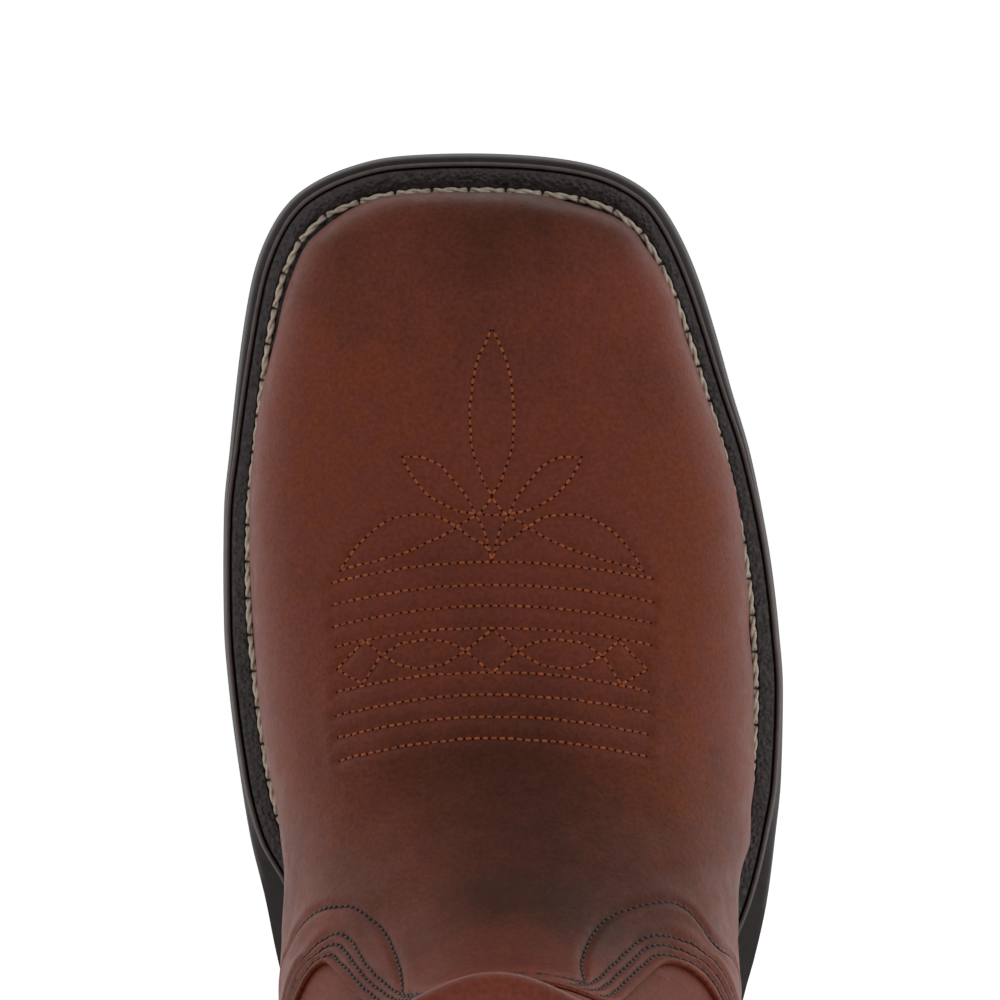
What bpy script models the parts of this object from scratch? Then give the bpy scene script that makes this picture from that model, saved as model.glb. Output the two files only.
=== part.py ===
"""Western work boot, right foot, standing on its sole.

Metres, +Z up, toe towards -Y, medial side towards +X. The origin is on the floor, under the middle of
the boot. Every piece follows one of two forms: the outsole's outline, a pair of widths at each station
along the foot, and the last, a closed ring at each step from the feather line, where upper meets welt,
up to the collar.
"""

import math

import bmesh
import bpy
import numpy as np

# Driving sizes of the sole
SOLE_LENGTH = 0.306
BALL_WIDTH = 0.118
TOE_SPRING = 0.014
LUG_DEPTH = 0.004
OUTSOLE_THICKNESS = 0.008
SHANK_THICKNESS = 0.005
HEEL_HEIGHT = 0.034
TOP_LIFT_THICKNESS = 0.0075
WELT_THICKNESS = 0.0045
BEAD_WIDTH = 0.0015
BEAD_HEIGHT = 0.0038
BEAD_GROOVE = 0.0005
SOLE_CHAMFER = 0.0012

# Driving sizes of the upper
WALL = 0.0024
OVERLAY = 0.0013
THROAT_HEIGHT = 0.133
SHAFT_TOP = 0.326
SHAFT_WIDTH = 0.104
SHAFT_DEPTH = 0.147
COLLAR_DIP = 0.016
INSOLE_THICKNESS = 0.0055
SEAM_WIDTH = 0.005
SEAM_HEIGHT = 0.0018
BINDING_DEPTH = 0.011
BINDING_THICKNESS = 0.0012
THROAT_EASE = 0.018

# Heel and tread
HEEL_TAPER = 0.0025
BREAST_HOLLOW = 0.003
GROOVE_WIDTH = 0.003
GROOVE_DEPTH = 0.0028
LUG_LENGTH = 0.0088
LUG_GAP = 0.0042
LUG_SLANT = 0.0026
LUG_TAPER = 0.0006
LUG_SINK = 0.0013

# Clearance between pieces that meet
FIT = 0.0003
# Overlays lie this far off the facets of the upper
OVERLAY_FIT = 0.0008
# Overlays start this far above the feather line, clear of the welt
OVERLAY_FOOT = 0.0005
# The upper's lower rim stands this far above the welt
RIM_FIT = 0.0005

# Mesh density
OUTLINE_STEPS = 32
RING_STEPS = 22
FOOT_RINGS = 16
SHAFT_RINGS = 7
HEEL_STEPS = 11
PROFILE_SAMPLES = 400
SHARP_ANGLE = 40

# Stations of the outsole seen from above. along: share of SOLE_LENGTH from the toe. medial, lateral:
# edge, share of BALL_WIDTH from the middle line. medial_step, lateral_step: how far the rim at the top
# stands back from the edge at the bottom, share of BALL_WIDTH.
OUTLINE = {
    "along": (0.0, 0.0026, 0.0082, 0.0193, 0.030, 0.0467, 0.0794, 0.1206, 0.1618, 0.2026, 0.2438,
              0.285, 0.3261, 0.367, 0.4288, 0.4699, 0.5111, 0.552, 0.5725, 0.6046, 0.6373, 0.67,
              0.7026, 0.7516, 0.817, 0.866, 0.915, 0.9477, 0.9739, 0.9918, 1.0),
    "medial": (0.064, 0.204, 0.268, 0.337, 0.376, 0.410, 0.446, 0.467, 0.481, 0.492, 0.5025,
               0.504, 0.5025, 0.494, 0.473, 0.455, 0.428, 0.405, 0.390, 0.352, 0.325, 0.314,
               0.318, 0.335, 0.343, 0.339, 0.309, 0.263, 0.195, 0.110, 0.0),
    "lateral": (-0.064, 0.076, 0.160, 0.229, 0.266, 0.298, 0.339, 0.3745, 0.405, 0.437, 0.460,
                0.478, 0.490, 0.4975, 0.494, 0.483, 0.4685, 0.444, 0.428, 0.407, 0.386, 0.369,
                0.358, 0.352, 0.347, 0.339, 0.309, 0.263, 0.195, 0.110, 0.0),
    "medial_step": (0.004, 0.004, 0.004, 0.004, 0.004, 0.004, 0.004, 0.004, 0.004, 0.004, 0.004,
                    0.004, 0.004, 0.004, 0.005, 0.014, 0.042, 0.058, 0.060, 0.058, 0.050, 0.040,
                    0.028, 0.014, 0.008, 0.008, 0.008, 0.008, 0.008, 0.008, 0.008),
    "lateral_step": (0.004, 0.004, 0.004, 0.004, 0.004, 0.004, 0.004, 0.004, 0.004, 0.004, 0.004,
                     0.004, 0.004, 0.004, 0.007, 0.014, 0.026, 0.043, 0.052, 0.054, 0.048, 0.038,
                     0.026, 0.014, 0.008, 0.008, 0.008, 0.008, 0.008, 0.008, 0.008),
}

# Stations of the foot of the upper. along: share of the upper's own length, toe to heel. medial,
# lateral: widest point, share of BALL_WIDTH. medial_tuck, lateral_tuck: how far the feather line lies
# inside it.
FOOT = {
    "along": (0.0, 0.002, 0.0075, 0.0185, 0.030, 0.0375, 0.058, 0.079, 0.100, 0.1215, 0.1425, 0.1635,
              0.1845, 0.206, 0.227, 0.248, 0.269, 0.290, 0.312, 0.333, 0.354, 0.375, 0.396, 0.417,
              0.4385, 0.460, 0.478, 0.497, 0.517, 0.5365, 0.562, 0.620, 0.690, 0.760, 0.830, 0.880,
              0.930, 0.960, 0.982, 0.995, 1.0),
    "medial": (0.061, 0.195, 0.252, 0.305, 0.3415, 0.359, 0.382, 0.3975, 0.407, 0.420, 0.433, 0.4415,
               0.448, 0.454, 0.456, 0.4565, 0.4575, 0.4575, 0.456, 0.454, 0.4525, 0.448, 0.4415, 0.431,
               0.418, 0.409, 0.401, 0.3975, 0.3965, 0.3915, 0.388, 0.368, 0.347, 0.336, 0.332, 0.324,
               0.288, 0.240, 0.173, 0.092, 0.0),
    "lateral": (-0.061, 0.064, 0.119, 0.203, 0.242, 0.2535, 0.285, 0.3075, 0.3195, 0.337, 0.355, 0.3745,
                0.392, 0.4075, 0.4185, 0.4255, 0.432, 0.4395, 0.4415, 0.448, 0.453, 0.4535, 0.4535,
                0.4535, 0.445, 0.4415, 0.4245, 0.416, 0.4125, 0.4075, 0.405, 0.384, 0.358, 0.340,
                0.332, 0.324, 0.288, 0.240, 0.173, 0.092, 0.0),
    "medial_tuck": (0.0, 0.0, 0.004, 0.008, 0.010, 0.010, 0.010, 0.010, 0.010, 0.010, 0.010, 0.010,
                    0.010, 0.010, 0.010, 0.010, 0.010, 0.011, 0.012, 0.013, 0.015, 0.018, 0.024, 0.032,
                    0.042, 0.058, 0.080, 0.105, 0.120, 0.124, 0.128, 0.118, 0.080, 0.034, 0.020, 0.018,
                    0.014, 0.010, 0.004, 0.0, 0.0),
    "lateral_tuck": (0.0, 0.0, 0.004, 0.008, 0.010, 0.010, 0.010, 0.010, 0.010, 0.010, 0.010, 0.010,
                     0.010, 0.010, 0.010, 0.010, 0.010, 0.010, 0.010, 0.010, 0.011, 0.012, 0.014, 0.018,
                     0.022, 0.028, 0.034, 0.042, 0.052, 0.062, 0.074, 0.070, 0.052, 0.034, 0.020, 0.018,
                     0.014, 0.010, 0.004, 0.0, 0.0),
}
# Front of the upper, share of SOLE_LENGTH, and how high its tuck reaches, share of the way to the throat
UPPER_TOE = 0.0255
TUCK_RISE = 0.30
# From this share of the foot back, its section follows the curve of the back line
HEEL_CLING = 0.6
# Behind the throat the front line runs on this steeply
RUN_ON = 6

# Crown of the foot's section, boxy at the toe and rounder at the instep. along as in FOOT. power:
# exponent of the arch.
CROWN = {"along": (0.0, 0.10, 0.25, 0.40, 0.55, 1.0), "power": (3.1, 2.9, 2.6, 2.35, 2.2, 2.2)}

# Front line in the side view, toe to throat. along: share of the way from toe to throat. rise: share
# of the height from feather line to throat.
RIDGE = {
    "along": (0.0, 0.001, 0.0045, 0.014, 0.035, 0.0605, 0.108, 0.191, 0.287, 0.395, 0.522, 0.650,
              0.764, 0.866, 0.943, 1.0),
    "rise": (0.0, 0.075, 0.122, 0.160, 0.192, 0.212, 0.235, 0.266, 0.304, 0.350, 0.400, 0.461,
             0.546, 0.668, 0.820, 1.0),
}

# Back line in the side view. back: share of SOLE_LENGTH. rise: share of the height from feather line
# to throat.
HEEL_LINE = {
    "rise": (0.0, 0.12, 0.25, 0.43, 0.68, 1.0),
    "back": (0.9775, 0.9850, 0.9869, 0.9820, 0.9722, 0.9673),
}

# Shaft above the throat. rise: share of the way from throat to collar. back: share of SOLE_LENGTH.
# depth, half_width: shares of SHAFT_DEPTH and SHAFT_WIDTH. shift: middle, share of SHAFT_WIDTH.
SHAFT = {
    "rise": (0.0, 0.2, 0.45, 0.72, 1.0),
    "back": (0.9673, 0.9690, 0.9739, 0.9771, 0.9804),
    "depth": (0.893, 0.903, 0.935, 0.968, 1.0),
    "half_width": (0.4087, 0.4279, 0.4615, 0.4856, 0.5),
    "shift": (-0.009, -0.008, -0.002, 0.010, 0.022),
}
SHAFT_POWER = 2.1
# The foot's section turns into the shaft's between these shares of THROAT_HEIGHT
BLEND_FROM, BLEND_TO = 0.55, 0.94

# Rings of the last. front, back: share of the front and back line, feather line to throat, that each
# ring joins.
RING_ENDS = {"front": (0.0, 0.143, 0.576, 0.786, 1.0), "back": (0.0, 0.07, 0.22, 0.53, 1.0)}
# The rings crowd towards the feather line, their points towards toe and heel, and each ring leans
RING_EASE = 1.35
AROUND_EASE = 0.42
RING_LEAN = 0.6
# The collar dips at front and back, level at its sides
DIP_POWER = 3

# Top edge of the vamp: a tongue up the shaft in front, a scallop on each side of the instep, and a wing
# along the waist. around: u of the last from the toe. medial, lateral: v of the edge, share of the
# throat's.
VAMP_EDGE = {
    "around": (0.0, 0.07, 0.13, 0.18, 0.215, 0.25, 0.29, 0.34, 0.40, 0.455, 0.50, 0.545, 0.591),
    "medial": (1.06, 1.055, 1.04, 1.01, 0.975, 0.92, 0.850, 0.815, 0.775, 0.70, 0.58, 0.36, 0.03),
    "lateral": (1.06, 1.055, 1.035, 0.995, 0.945, 0.885, 0.855, 0.825, 0.775, 0.70, 0.58, 0.36, 0.03),
}
VAMP_COLUMNS, VAMP_HALVES_FROM = 13, 3
# Top edge of the counter, around from the back seam
COUNTER_EDGE = {
    "around": (0.0, 0.08, 0.17, 0.25, 0.31, 0.364),
    "medial": (0.84, 0.82, 0.70, 0.46, 0.22, 0.03),
    "lateral": (0.84, 0.82, 0.70, 0.46, 0.22, 0.03),
}
COUNTER_COLUMNS, COUNTER_HALVES_FROM = 8, 4
# How close an overlay's rows may lie under a low edge, and how long they keep to the last's rings
ROW_SQUEEZE, ROW_KEEP = 0.8, 6
# Over this share of the sole's length at either end the feather line's stations leave the outsole's
FEATHER_ENDS = 0.15

# Side seams of the shaft: u of the last, between which v they run, their section as shares of half
# the width and of the height, and the step in u that measures their width
SEAM_U, SEAM_FROM, SEAM_TO, SEAM_ROWS = 0.5, 0.575, 0.955, 11
SEAM_SECTION = ((-1, 0.5), (-0.5, 1), (0.5, 1), (1, 0.5))
SEAM_PROBE = 0.01

# Sole curve: flat under the ball between these shares of SOLE_LENGTH, level under the heel from here
FLAT_FROM, FLAT_TO, SEAT_FROM = 0.294, 0.441, 0.80
SPRING_POWER = 1.8
HEEL_BREAST = 0.752
# The side's ledge under the rim, share of the outsole's thickness down from the top
SIDE_LEDGE = 0.3
# The bead's section: its shoulder, share of BEAD_HEIGHT, and its crown, shares of BEAD_WIDTH
BEAD_SHOULDER, BEAD_CROWN = 0.8, (0.3, 0.7)
# Half way up the heel block this share of its taper is left
HEEL_CURVE = 0.75
# Lugs between these shares of SOLE_LENGTH. A row holds lugs from and to a share of the width, medial
# side last, each with its slant.
LUGS_FROM, LUGS_TO = 0.035, 0.475
LUG_COLUMNS = ((0.0, 0.19, 1), (0.27, 0.47, -1), (0.53, 0.73, 1), (0.81, 1.0, -1))
GROOVES_AT = (0.80, 0.86, 0.92)

# Colour and roughness of each piece, and of the cutters, whose faces the pieces keep
BROWN, DARK, TAN = (0.125, 0.036, 0.018), (0.012, 0.010, 0.010), (0.30, 0.18, 0.10)
FINISHES = {
    "upper": (BROWN, 0.45), "vamp": (BROWN, 0.42), "counter": (BROWN, 0.42), "seam_medial": (BROWN, 0.5),
    "seam_lateral": (BROWN, 0.5), "binding": (BROWN, 0.5), "insole": (TAN, 0.7), "welt": (DARK, 0.6),
    "outsole": (DARK, 0.5), "heel_block": (DARK, 0.5), "top_lift": (DARK, 0.6), "lugs": (DARK, 0.6),
    "grooves": (DARK, 0.6),
}


def smooth_through(x, y):
    """A curve through the points that doesn't overshoot them (monotone cubic)."""
    x, y = np.asarray(x, float), np.asarray(y, float)
    step = np.diff(x)
    rise = np.diff(y) / step
    slope = np.zeros(len(x))
    slope[0], slope[-1] = rise[0], rise[-1]
    for i in range(1, len(x) - 1):
        if rise[i - 1] * rise[i] > 0:
            near, far = 2 * step[i] + step[i - 1], step[i] + 2 * step[i - 1]
            slope[i] = (near + far) / (near / rise[i - 1] + far / rise[i])

    def at(value):
        value = np.clip(value, x[0], x[-1])
        i = np.clip(np.searchsorted(x, value, side="right") - 1, 0, len(step) - 1)
        s = (value - x[i]) / step[i]
        start = y[i] * (1 + 2 * s) * (1 - s) ** 2 + slope[i] * step[i] * s * (1 - s) ** 2
        end = y[i + 1] * s * s * (3 - 2 * s) + slope[i + 1] * step[i] * s * s * (s - 1)
        return start + end

    return at


def turn(share):
    """Angle of a share of a length: round ends become straight lines over it."""
    return np.arccos(1 - 2 * np.clip(share, 0, 1))


def over_length(rows, column):
    """A column of a station table as a function of its share along the foot."""
    curve = smooth_through(turn(rows["along"]), rows[column])
    return lambda share: curve(turn(share))


def smoothstep(share):
    share = np.clip(share, 0, 1)
    return share * share * (3 - 2 * share)


# The sole's heights, over y measured from the toe


def arch_share(along):
    return smoothstep((along - FLAT_TO) / (SEAT_FROM - FLAT_TO))


def seat_height(t):
    """Top of the outsole, on which welt and insole lie."""
    along = t / SOLE_LENGTH
    fore = LUG_DEPTH + OUTSOLE_THICKNESS
    spring = TOE_SPRING * np.clip((FLAT_FROM - along) / FLAT_FROM, 0, 1) ** SPRING_POWER
    return fore + spring + (HEEL_HEIGHT + SHANK_THICKNESS - fore) * arch_share(along)


def underside(t):
    """Underside of the outsole between its lugs."""
    share = arch_share(t / SOLE_LENGTH)
    return seat_height(t) - OUTSOLE_THICKNESS - (SHANK_THICKNESS - OUTSOLE_THICKNESS) * share


def seat_fit(t):
    """Underside of what lies on the outsole."""
    return seat_height(t) + FIT


def welt_top(t):
    return seat_fit(t) + WELT_THICKNESS


def insole_top(t):
    return seat_fit(t) + INSOLE_THICKNESS


def feather_height(t):
    """Lower rim of the upper."""
    return welt_top(t) + RIM_FIT


# The sole's outline


sole_medial = over_length(OUTLINE, "medial")
sole_lateral = over_length(OUTLINE, "lateral")
medial_step = over_length(OUTLINE, "medial_step")
lateral_step = over_length(OUTLINE, "lateral_step")


def ring_of_pairs(stations, medial, lateral):
    """A closed plan outline from its stations: first, medial side, last, lateral side back."""
    middle = (medial - lateral) / 2
    first = [(middle[0], stations[0])]
    last = [(middle[-1], stations[-1])]
    right = list(zip(medial[1:-1], stations[1:-1]))
    left = list(zip(-lateral[1:-1], stations[1:-1]))
    return np.array(first + right + last + left[::-1])


def inset(outline, distance):
    """The outline moved inwards, square to itself."""
    ahead, behind = np.roll(outline, -1, axis=0), np.roll(outline, 1, axis=0)
    along = ahead - behind
    along /= np.linalg.norm(along, axis=1)[:, None]
    inwards = np.stack([-along[:, 1], along[:, 0]], axis=1)
    return outline + inwards * np.reshape(distance, (-1, 1))


def outline_stations():
    """Shares of the outsole's length, closer together at toe and heel."""
    return (1 - np.cos(np.pi * np.arange(OUTLINE_STEPS + 1) / OUTLINE_STEPS)) / 2


def sole_outline():
    """The outsole's edge seen from above, as (x, distance from the toe)."""
    share = outline_stations()
    return ring_of_pairs(share * SOLE_LENGTH, sole_medial(share) * BALL_WIDTH, sole_lateral(share) * BALL_WIDTH)


def rim_step(outline):
    """How far the rim stands back from the edge, at each point of the outline."""
    share = outline[:, 1] / SOLE_LENGTH
    medial = outline[:, 0] > (sole_medial(share) - sole_lateral(share)) * BALL_WIDTH / 2
    return np.where(medial, medial_step(share), lateral_step(share)) * BALL_WIDTH


def placed(outline, height):
    """Plan points at their heights, in the boot's own frame."""
    z = height(outline[:, 1]) if callable(height) else np.full(len(outline), height)
    return np.column_stack([outline[:, 0], outline[:, 1] - SOLE_LENGTH / 2, z])


# The last


foot_medial = over_length(FOOT, "medial")
foot_lateral = over_length(FOOT, "lateral")
tuck_medial = over_length(FOOT, "medial_tuck")
tuck_lateral = over_length(FOOT, "lateral_tuck")
crown_power = smooth_through(CROWN["along"], CROWN["power"])
toe_t = UPPER_TOE * SOLE_LENGTH
heel_t = max(HEEL_LINE["back"]) * SOLE_LENGTH
throat_t = SHAFT["back"][0] * SOLE_LENGTH - SHAFT["depth"][0] * SHAFT_DEPTH


def resampled(points, shares):
    """Points at these shares of a line's own length."""
    length = np.concatenate([[0], np.cumsum(np.linalg.norm(np.diff(points, axis=0), axis=1))])
    at = np.asarray(shares) * length[-1]
    return np.stack([np.interp(at, length, column) for column in points.T], axis=-1)


def smooth_line(points):
    """A dense smooth line through the points of a profile."""
    points = np.asarray(points, float)
    length = np.concatenate([[0], np.cumsum(np.linalg.norm(np.diff(points, axis=0), axis=1))])
    at = np.linspace(0, length[-1], PROFILE_SAMPLES)
    return np.stack([smooth_through(length, column)(at) for column in points.T], axis=-1)


def profile_lines():
    """Front and back line of the boot in the side view, each from feather line to collar."""
    climb = THROAT_HEIGHT - feather_height(throat_t)
    front = []
    for along, rise in zip(RIDGE["along"], RIDGE["rise"]):
        t = toe_t + along * (throat_t - toe_t)
        front.append((t, feather_height(t) + rise * climb))
    back = []
    heel_base = feather_height(HEEL_LINE["back"][0] * SOLE_LENGTH)
    for rise, share in zip(HEEL_LINE["rise"], HEEL_LINE["back"]):
        back.append((share * SOLE_LENGTH, heel_base + rise * (THROAT_HEIGHT - heel_base)))
    for rise, share, depth in list(zip(SHAFT["rise"], SHAFT["back"], SHAFT["depth"]))[1:]:
        z = THROAT_HEIGHT + rise * (SHAFT_TOP - THROAT_HEIGHT)
        front.append((share * SOLE_LENGTH - depth * SHAFT_DEPTH, z))
        back.append((share * SOLE_LENGTH, z))
    return smooth_line(front), smooth_line(back)


def eased(line, reach):
    """The line with its bends rounded over this reach, from the ball up."""
    steps = np.concatenate([[0], np.cumsum(np.linalg.norm(np.diff(line, axis=0), axis=1))])
    count = 2 * int(reach / steps[-1] * len(line)) + 1
    padded = np.pad(line, ((count // 2, count // 2), (0, 0)), "reflect", reflect_type="odd")
    window = np.hanning(count + 2)[1:-1]
    soft = np.stack([np.convolve(column, window / window.sum(), "valid") for column in padded.T], axis=-1)
    weight = smoothstep(line[:, 0] / SOLE_LENGTH / FLAT_FROM - 1)[:, None]
    return line + weight * (soft - line)


front_line, back_line = profile_lines()
front_line = eased(front_line, THROAT_EASE)
throat_index = int(np.argmax(front_line[:, 0]))
shaft_half = smooth_through(SHAFT["rise"], SHAFT["half_width"])
shaft_shift = smooth_through(SHAFT["rise"], SHAFT["shift"])
back_of_ring = smooth_through(RING_ENDS["front"], RING_ENDS["back"])


def ridge_height(t):
    """Height of the front line over a station, running on steeply behind the throat."""
    z = np.interp(t, front_line[:throat_index, 0], front_line[:throat_index, 1])
    return z + np.maximum(t - front_line[throat_index - 1, 0], 0) * RUN_ON


def half_widths(t, z):
    """Distance of the medial and the lateral wall from the middle, at a point of the side view."""
    share = (t - toe_t) / (heel_t - toe_t)
    behind = heel_t - np.interp(z, back_line[:, 1], back_line[:, 0])
    share = share + behind / (heel_t - toe_t) * smoothstep((share - HEEL_CLING) / (1 - HEEL_CLING))
    base = feather_height(t)
    up = np.clip((z - base) / np.maximum(ridge_height(t) - base, 1e-6), 0, 1)
    power = crown_power(share)
    arch = (1 - up**power) ** (1 / power)
    tuck = (1 - np.clip((z - base) / (TUCK_RISE * (THROAT_HEIGHT - base)), 0, 1)) ** 2
    medial, lateral = foot_medial(share), foot_lateral(share)
    middle = (medial - lateral) / 2
    half = (medial + lateral) / 2 * arch
    foot_m = (middle + half - tuck_medial(share) * tuck) * BALL_WIDTH
    foot_l = (-middle + half - tuck_lateral(share) * tuck) * BALL_WIDTH
    rise = (z - THROAT_HEIGHT) / (SHAFT_TOP - THROAT_HEIGHT)
    ahead = np.interp(z, front_line[:, 1], front_line[:, 0])
    back = np.interp(z, back_line[:, 1], back_line[:, 0])
    across = np.clip(2 * (t - ahead) / (back - ahead) - 1, -1, 1)
    oval = (1 - np.abs(across) ** SHAFT_POWER) ** (1 / SHAFT_POWER)
    shaft = shaft_half(np.clip(rise, 0, 1)) * SHAFT_WIDTH * oval
    shift = shaft_shift(np.clip(rise, 0, 1)) * SHAFT_WIDTH
    blend = smoothstep((z / THROAT_HEIGHT - BLEND_FROM) / (BLEND_TO - BLEND_FROM))
    return foot_m + blend * (shaft + shift - foot_m), foot_l + blend * (shaft - shift - foot_l)


def throat_share(line):
    """Share of a profile line's length at which it reaches the throat."""
    steps = np.concatenate([[0], np.cumsum(np.linalg.norm(np.diff(line, axis=0), axis=1))])
    return np.interp(THROAT_HEIGHT, line[:, 1], steps) / steps[-1]


FRONT_THROAT, BACK_THROAT = throat_share(front_line), throat_share(back_line)
THROAT_V = (FOOT_RINGS - 1) / (FOOT_RINGS - 1 + SHAFT_RINGS)


def ring_ends(v):
    """Front and back point of the ring at v, and how much of the feather line's bend it keeps."""
    if v <= THROAT_V:
        share = (v / THROAT_V) ** RING_EASE
        front, back = share * FRONT_THROAT, float(back_of_ring(share)) * BACK_THROAT
        bend = max(1 - share / RING_ENDS["front"][2], 0) ** 2
    else:
        share = (v - THROAT_V) / (1 - THROAT_V)
        front = FRONT_THROAT + share * (1 - FRONT_THROAT)
        back = BACK_THROAT + share * (1 - BACK_THROAT)
        bend = 0
    return resampled(front_line, [front])[0], resampled(back_line, [back])[0], bend


def around_shares(count):
    """Shares of a half ring, closer together at the toe and at the heel."""
    a = np.linspace(0, 1, count)
    return a - AROUND_EASE * np.sin(2 * np.pi * a) / (2 * np.pi)


def half_ring(v, side, shares):
    """One side of a ring, from its front point to its back point."""
    (t0, z0), (t1, z1), bend = ring_ends(v)
    q = np.sin(np.linspace(0, np.pi / 2, PROFILE_SAMPLES)) ** 2
    q = q ** (1 + RING_LEAN * (1 - q))
    t = t0 + q * (t1 - t0)
    z = z0 + q * (z1 - z0)
    chord = feather_height(t0) + q * (feather_height(t1) - feather_height(t0))
    z = z + (feather_height(t) - chord) * bend
    dip = smoothstep((v - THROAT_V) / (1 - THROAT_V)) ** 2
    z = z - COLLAR_DIP * dip * np.abs(np.cos(np.pi * q)) ** DIP_POWER
    medial, lateral = half_widths(t, z)
    middle = (medial - lateral)[[0, -1]] / 2
    x = medial if side > 0 else -lateral
    x[0], x[-1] = middle
    return resampled(np.column_stack([x, t - SOLE_LENGTH / 2, z]), shares)


def ring(v):
    """A closed ring of the last, from the front over the medial side to the back and round."""
    shares = around_shares(RING_STEPS + 1)
    medial = half_ring(v, 1, shares)
    lateral = half_ring(v, -1, shares)
    return np.concatenate([medial, lateral[-2:0:-1]])


def last_grid():
    """Rings of the last, and the direction outwards at each of their points."""
    count = FOOT_RINGS + SHAFT_RINGS
    points = np.array([ring(i / (count - 1)) for i in range(count)])
    along = np.roll(points, -1, axis=1) - np.roll(points, 1, axis=1)
    up = np.gradient(points, axis=0)
    outwards = np.cross(along, up)
    outwards[0, :, 2] = 0
    outwards /= np.linalg.norm(outwards, axis=2)[:, :, None]
    return points, outwards


last_points, last_out = last_grid()


def on_last(u, v, lift=0.0):
    """A point on the upper. u: 0 at the toe, 1 at the medial heel, -1 at the lateral. v: 0 to 1."""
    rows, columns = last_points.shape[:2]
    j = v * (rows - 1)
    i = (u * RING_STEPS) % columns
    j0, i0 = int(np.clip(j, 0, rows - 2)), int(i) % columns
    i1 = (i0 + 1) % columns
    a, b = i - int(i), j - j0

    def mixed(grid):
        low = grid[j0, i0] * (1 - a) + grid[j0, i1] * a
        high = grid[j0 + 1, i0] * (1 - a) + grid[j0 + 1, i1] * a
        return low * (1 - b) + high * b

    out = mixed(last_out)
    return mixed(last_points) + out / np.linalg.norm(out) * lift


# Meshes


def finish_of(name):
    """The material of a piece or a cutter."""
    colour, roughness = FINISHES[name]
    material = bpy.data.materials.new(name)
    material.use_nodes = True
    shader = material.node_tree.nodes["Principled BSDF"]
    shader.inputs["Base Color"].default_value = (*colour, 1)
    shader.inputs["Roughness"].default_value = roughness
    material.diffuse_color = (*colour, 1)
    return material


def add_object(name, mesh):
    """A mesh as a named piece, its faces turned outwards."""
    bmesh.ops.recalc_face_normals(mesh, faces=mesh.faces)
    data = bpy.data.meshes.new(name)
    mesh.to_mesh(data)
    mesh.free()
    piece = bpy.data.objects.new(name, data)
    bpy.context.scene.collection.objects.link(piece)
    data.materials.append(finish_of(name))
    data.shade_smooth()
    data.set_sharp_from_angle(angle=math.radians(SHARP_ANGLE))
    return piece


def as_cutter(piece):
    piece.hide_render = True
    piece.display_type = "WIRE"
    return piece


def boolean(piece, cutter, operation):
    modifier = piece.modifiers.new(operation.title(), "BOOLEAN")
    modifier.operation = operation
    modifier.object = as_cutter(cutter)


def stack(rings, closed_up=False):
    """A closed body from rings of the same count, capped by strips or, closed_up, bridged end to end."""
    mesh = bmesh.new()
    loops = [[mesh.verts.new(point) for point in points] for points in rings]
    count = len(loops[0])
    pairs = list(zip(loops, loops[1:]))
    if closed_up:
        pairs.append((loops[-1], loops[0]))
    for low, high in pairs:
        for i in range(count):
            k = (i + 1) % count
            mesh.faces.new((low[i], low[k], high[k], high[i]))
    if not closed_up:
        for loop in (loops[0], loops[-1]):
            mesh.faces.new((loop[0], loop[1], loop[-1]))
            mesh.faces.new((loop[count // 2 - 1], loop[count // 2], loop[count // 2 + 1]))
            for i in range(1, count // 2 - 1):
                mesh.faces.new((loop[i], loop[i + 1], loop[-i - 1], loop[-i]))
    return mesh


def block(points_low, points_high):
    """A closed body between two grids of points of the same shape."""
    mesh = bmesh.new()
    low = [[mesh.verts.new(point) for point in row] for row in points_low]
    high = [[mesh.verts.new(point) for point in row] for row in points_high]
    rows, columns = len(low), len(low[0])
    for grid in (low, high):
        for j in range(rows - 1):
            for i in range(columns - 1):
                mesh.faces.new((grid[j][i], grid[j][i + 1], grid[j + 1][i + 1], grid[j + 1][i]))
    for j in range(rows - 1):
        for i in (0, columns - 1):
            mesh.faces.new((low[j][i], low[j + 1][i], high[j + 1][i], high[j][i]))
    for i in range(columns - 1):
        for j in (0, rows - 1):
            mesh.faces.new((low[j][i], low[j][i + 1], high[j][i + 1], high[j][i]))
    return mesh


def patch(places, low, high, foot=0.0):
    """A layer that follows the upper over a grid of (u, v) places, between two lifts, its foot raised."""
    layers = [np.array([[on_last(u, v, lift) for u, v in row] for row in places]) for lift in (low, high)]
    for layer in layers:
        layer[0, :, 2] += foot
    return block(*layers)


# Upper


def make_upper():
    """Foot and shaft as one lasted shell, open at the collar and underneath."""
    mesh = bmesh.new()
    loops = [[mesh.verts.new(point) for point in row] for row in last_points]
    count = len(loops[0])
    for low, high in zip(loops, loops[1:]):
        for i in range(count):
            k = (i + 1) % count
            mesh.faces.new((low[i], low[k], high[k], high[i]))
    piece = add_object("upper", mesh)
    wall = piece.modifiers.new("Wall", "SOLIDIFY")
    wall.thickness = WALL
    wall.offset = -1
    wall.use_even_offset = True
    return piece


def overlay_places(edge, centre, columns, halves_from):
    """Places of an overlay from the feather line up to its edge, on the last's own columns and halves.

    Its rows keep to the last's rings at the foot and close up towards the edge where that is low.
    """
    medial = smooth_through(edge["around"], edge["medial"])
    lateral = smooth_through(edge["around"], edge["lateral"])
    steps = list(range(halves_from)) + [halves_from + k / 2 for k in range(2 * (columns - halves_from) + 1)]
    steps = [-step for step in steps[:0:-1]] + steps
    shares = [step / RING_STEPS for step in steps]
    tops = [float(medial(u) if u > 0 else lateral(-u)) * THROAT_V for u in shares]
    rings = FOOT_RINGS - 1 + SHAFT_RINGS
    rows = math.ceil(max(tops) * rings)
    full = rows / rings
    places = []
    for j in range(rows + 1):
        rise = j / rows
        row = []
        for u, top in zip(shares, tops):
            power = np.clip(ROW_SQUEEZE / (1 - top / full + 1e-9), 1, ROW_KEEP)
            row.append((centre + u, full * rise - (full - top) * rise**power))
        places.append(row)
    return places


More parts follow.
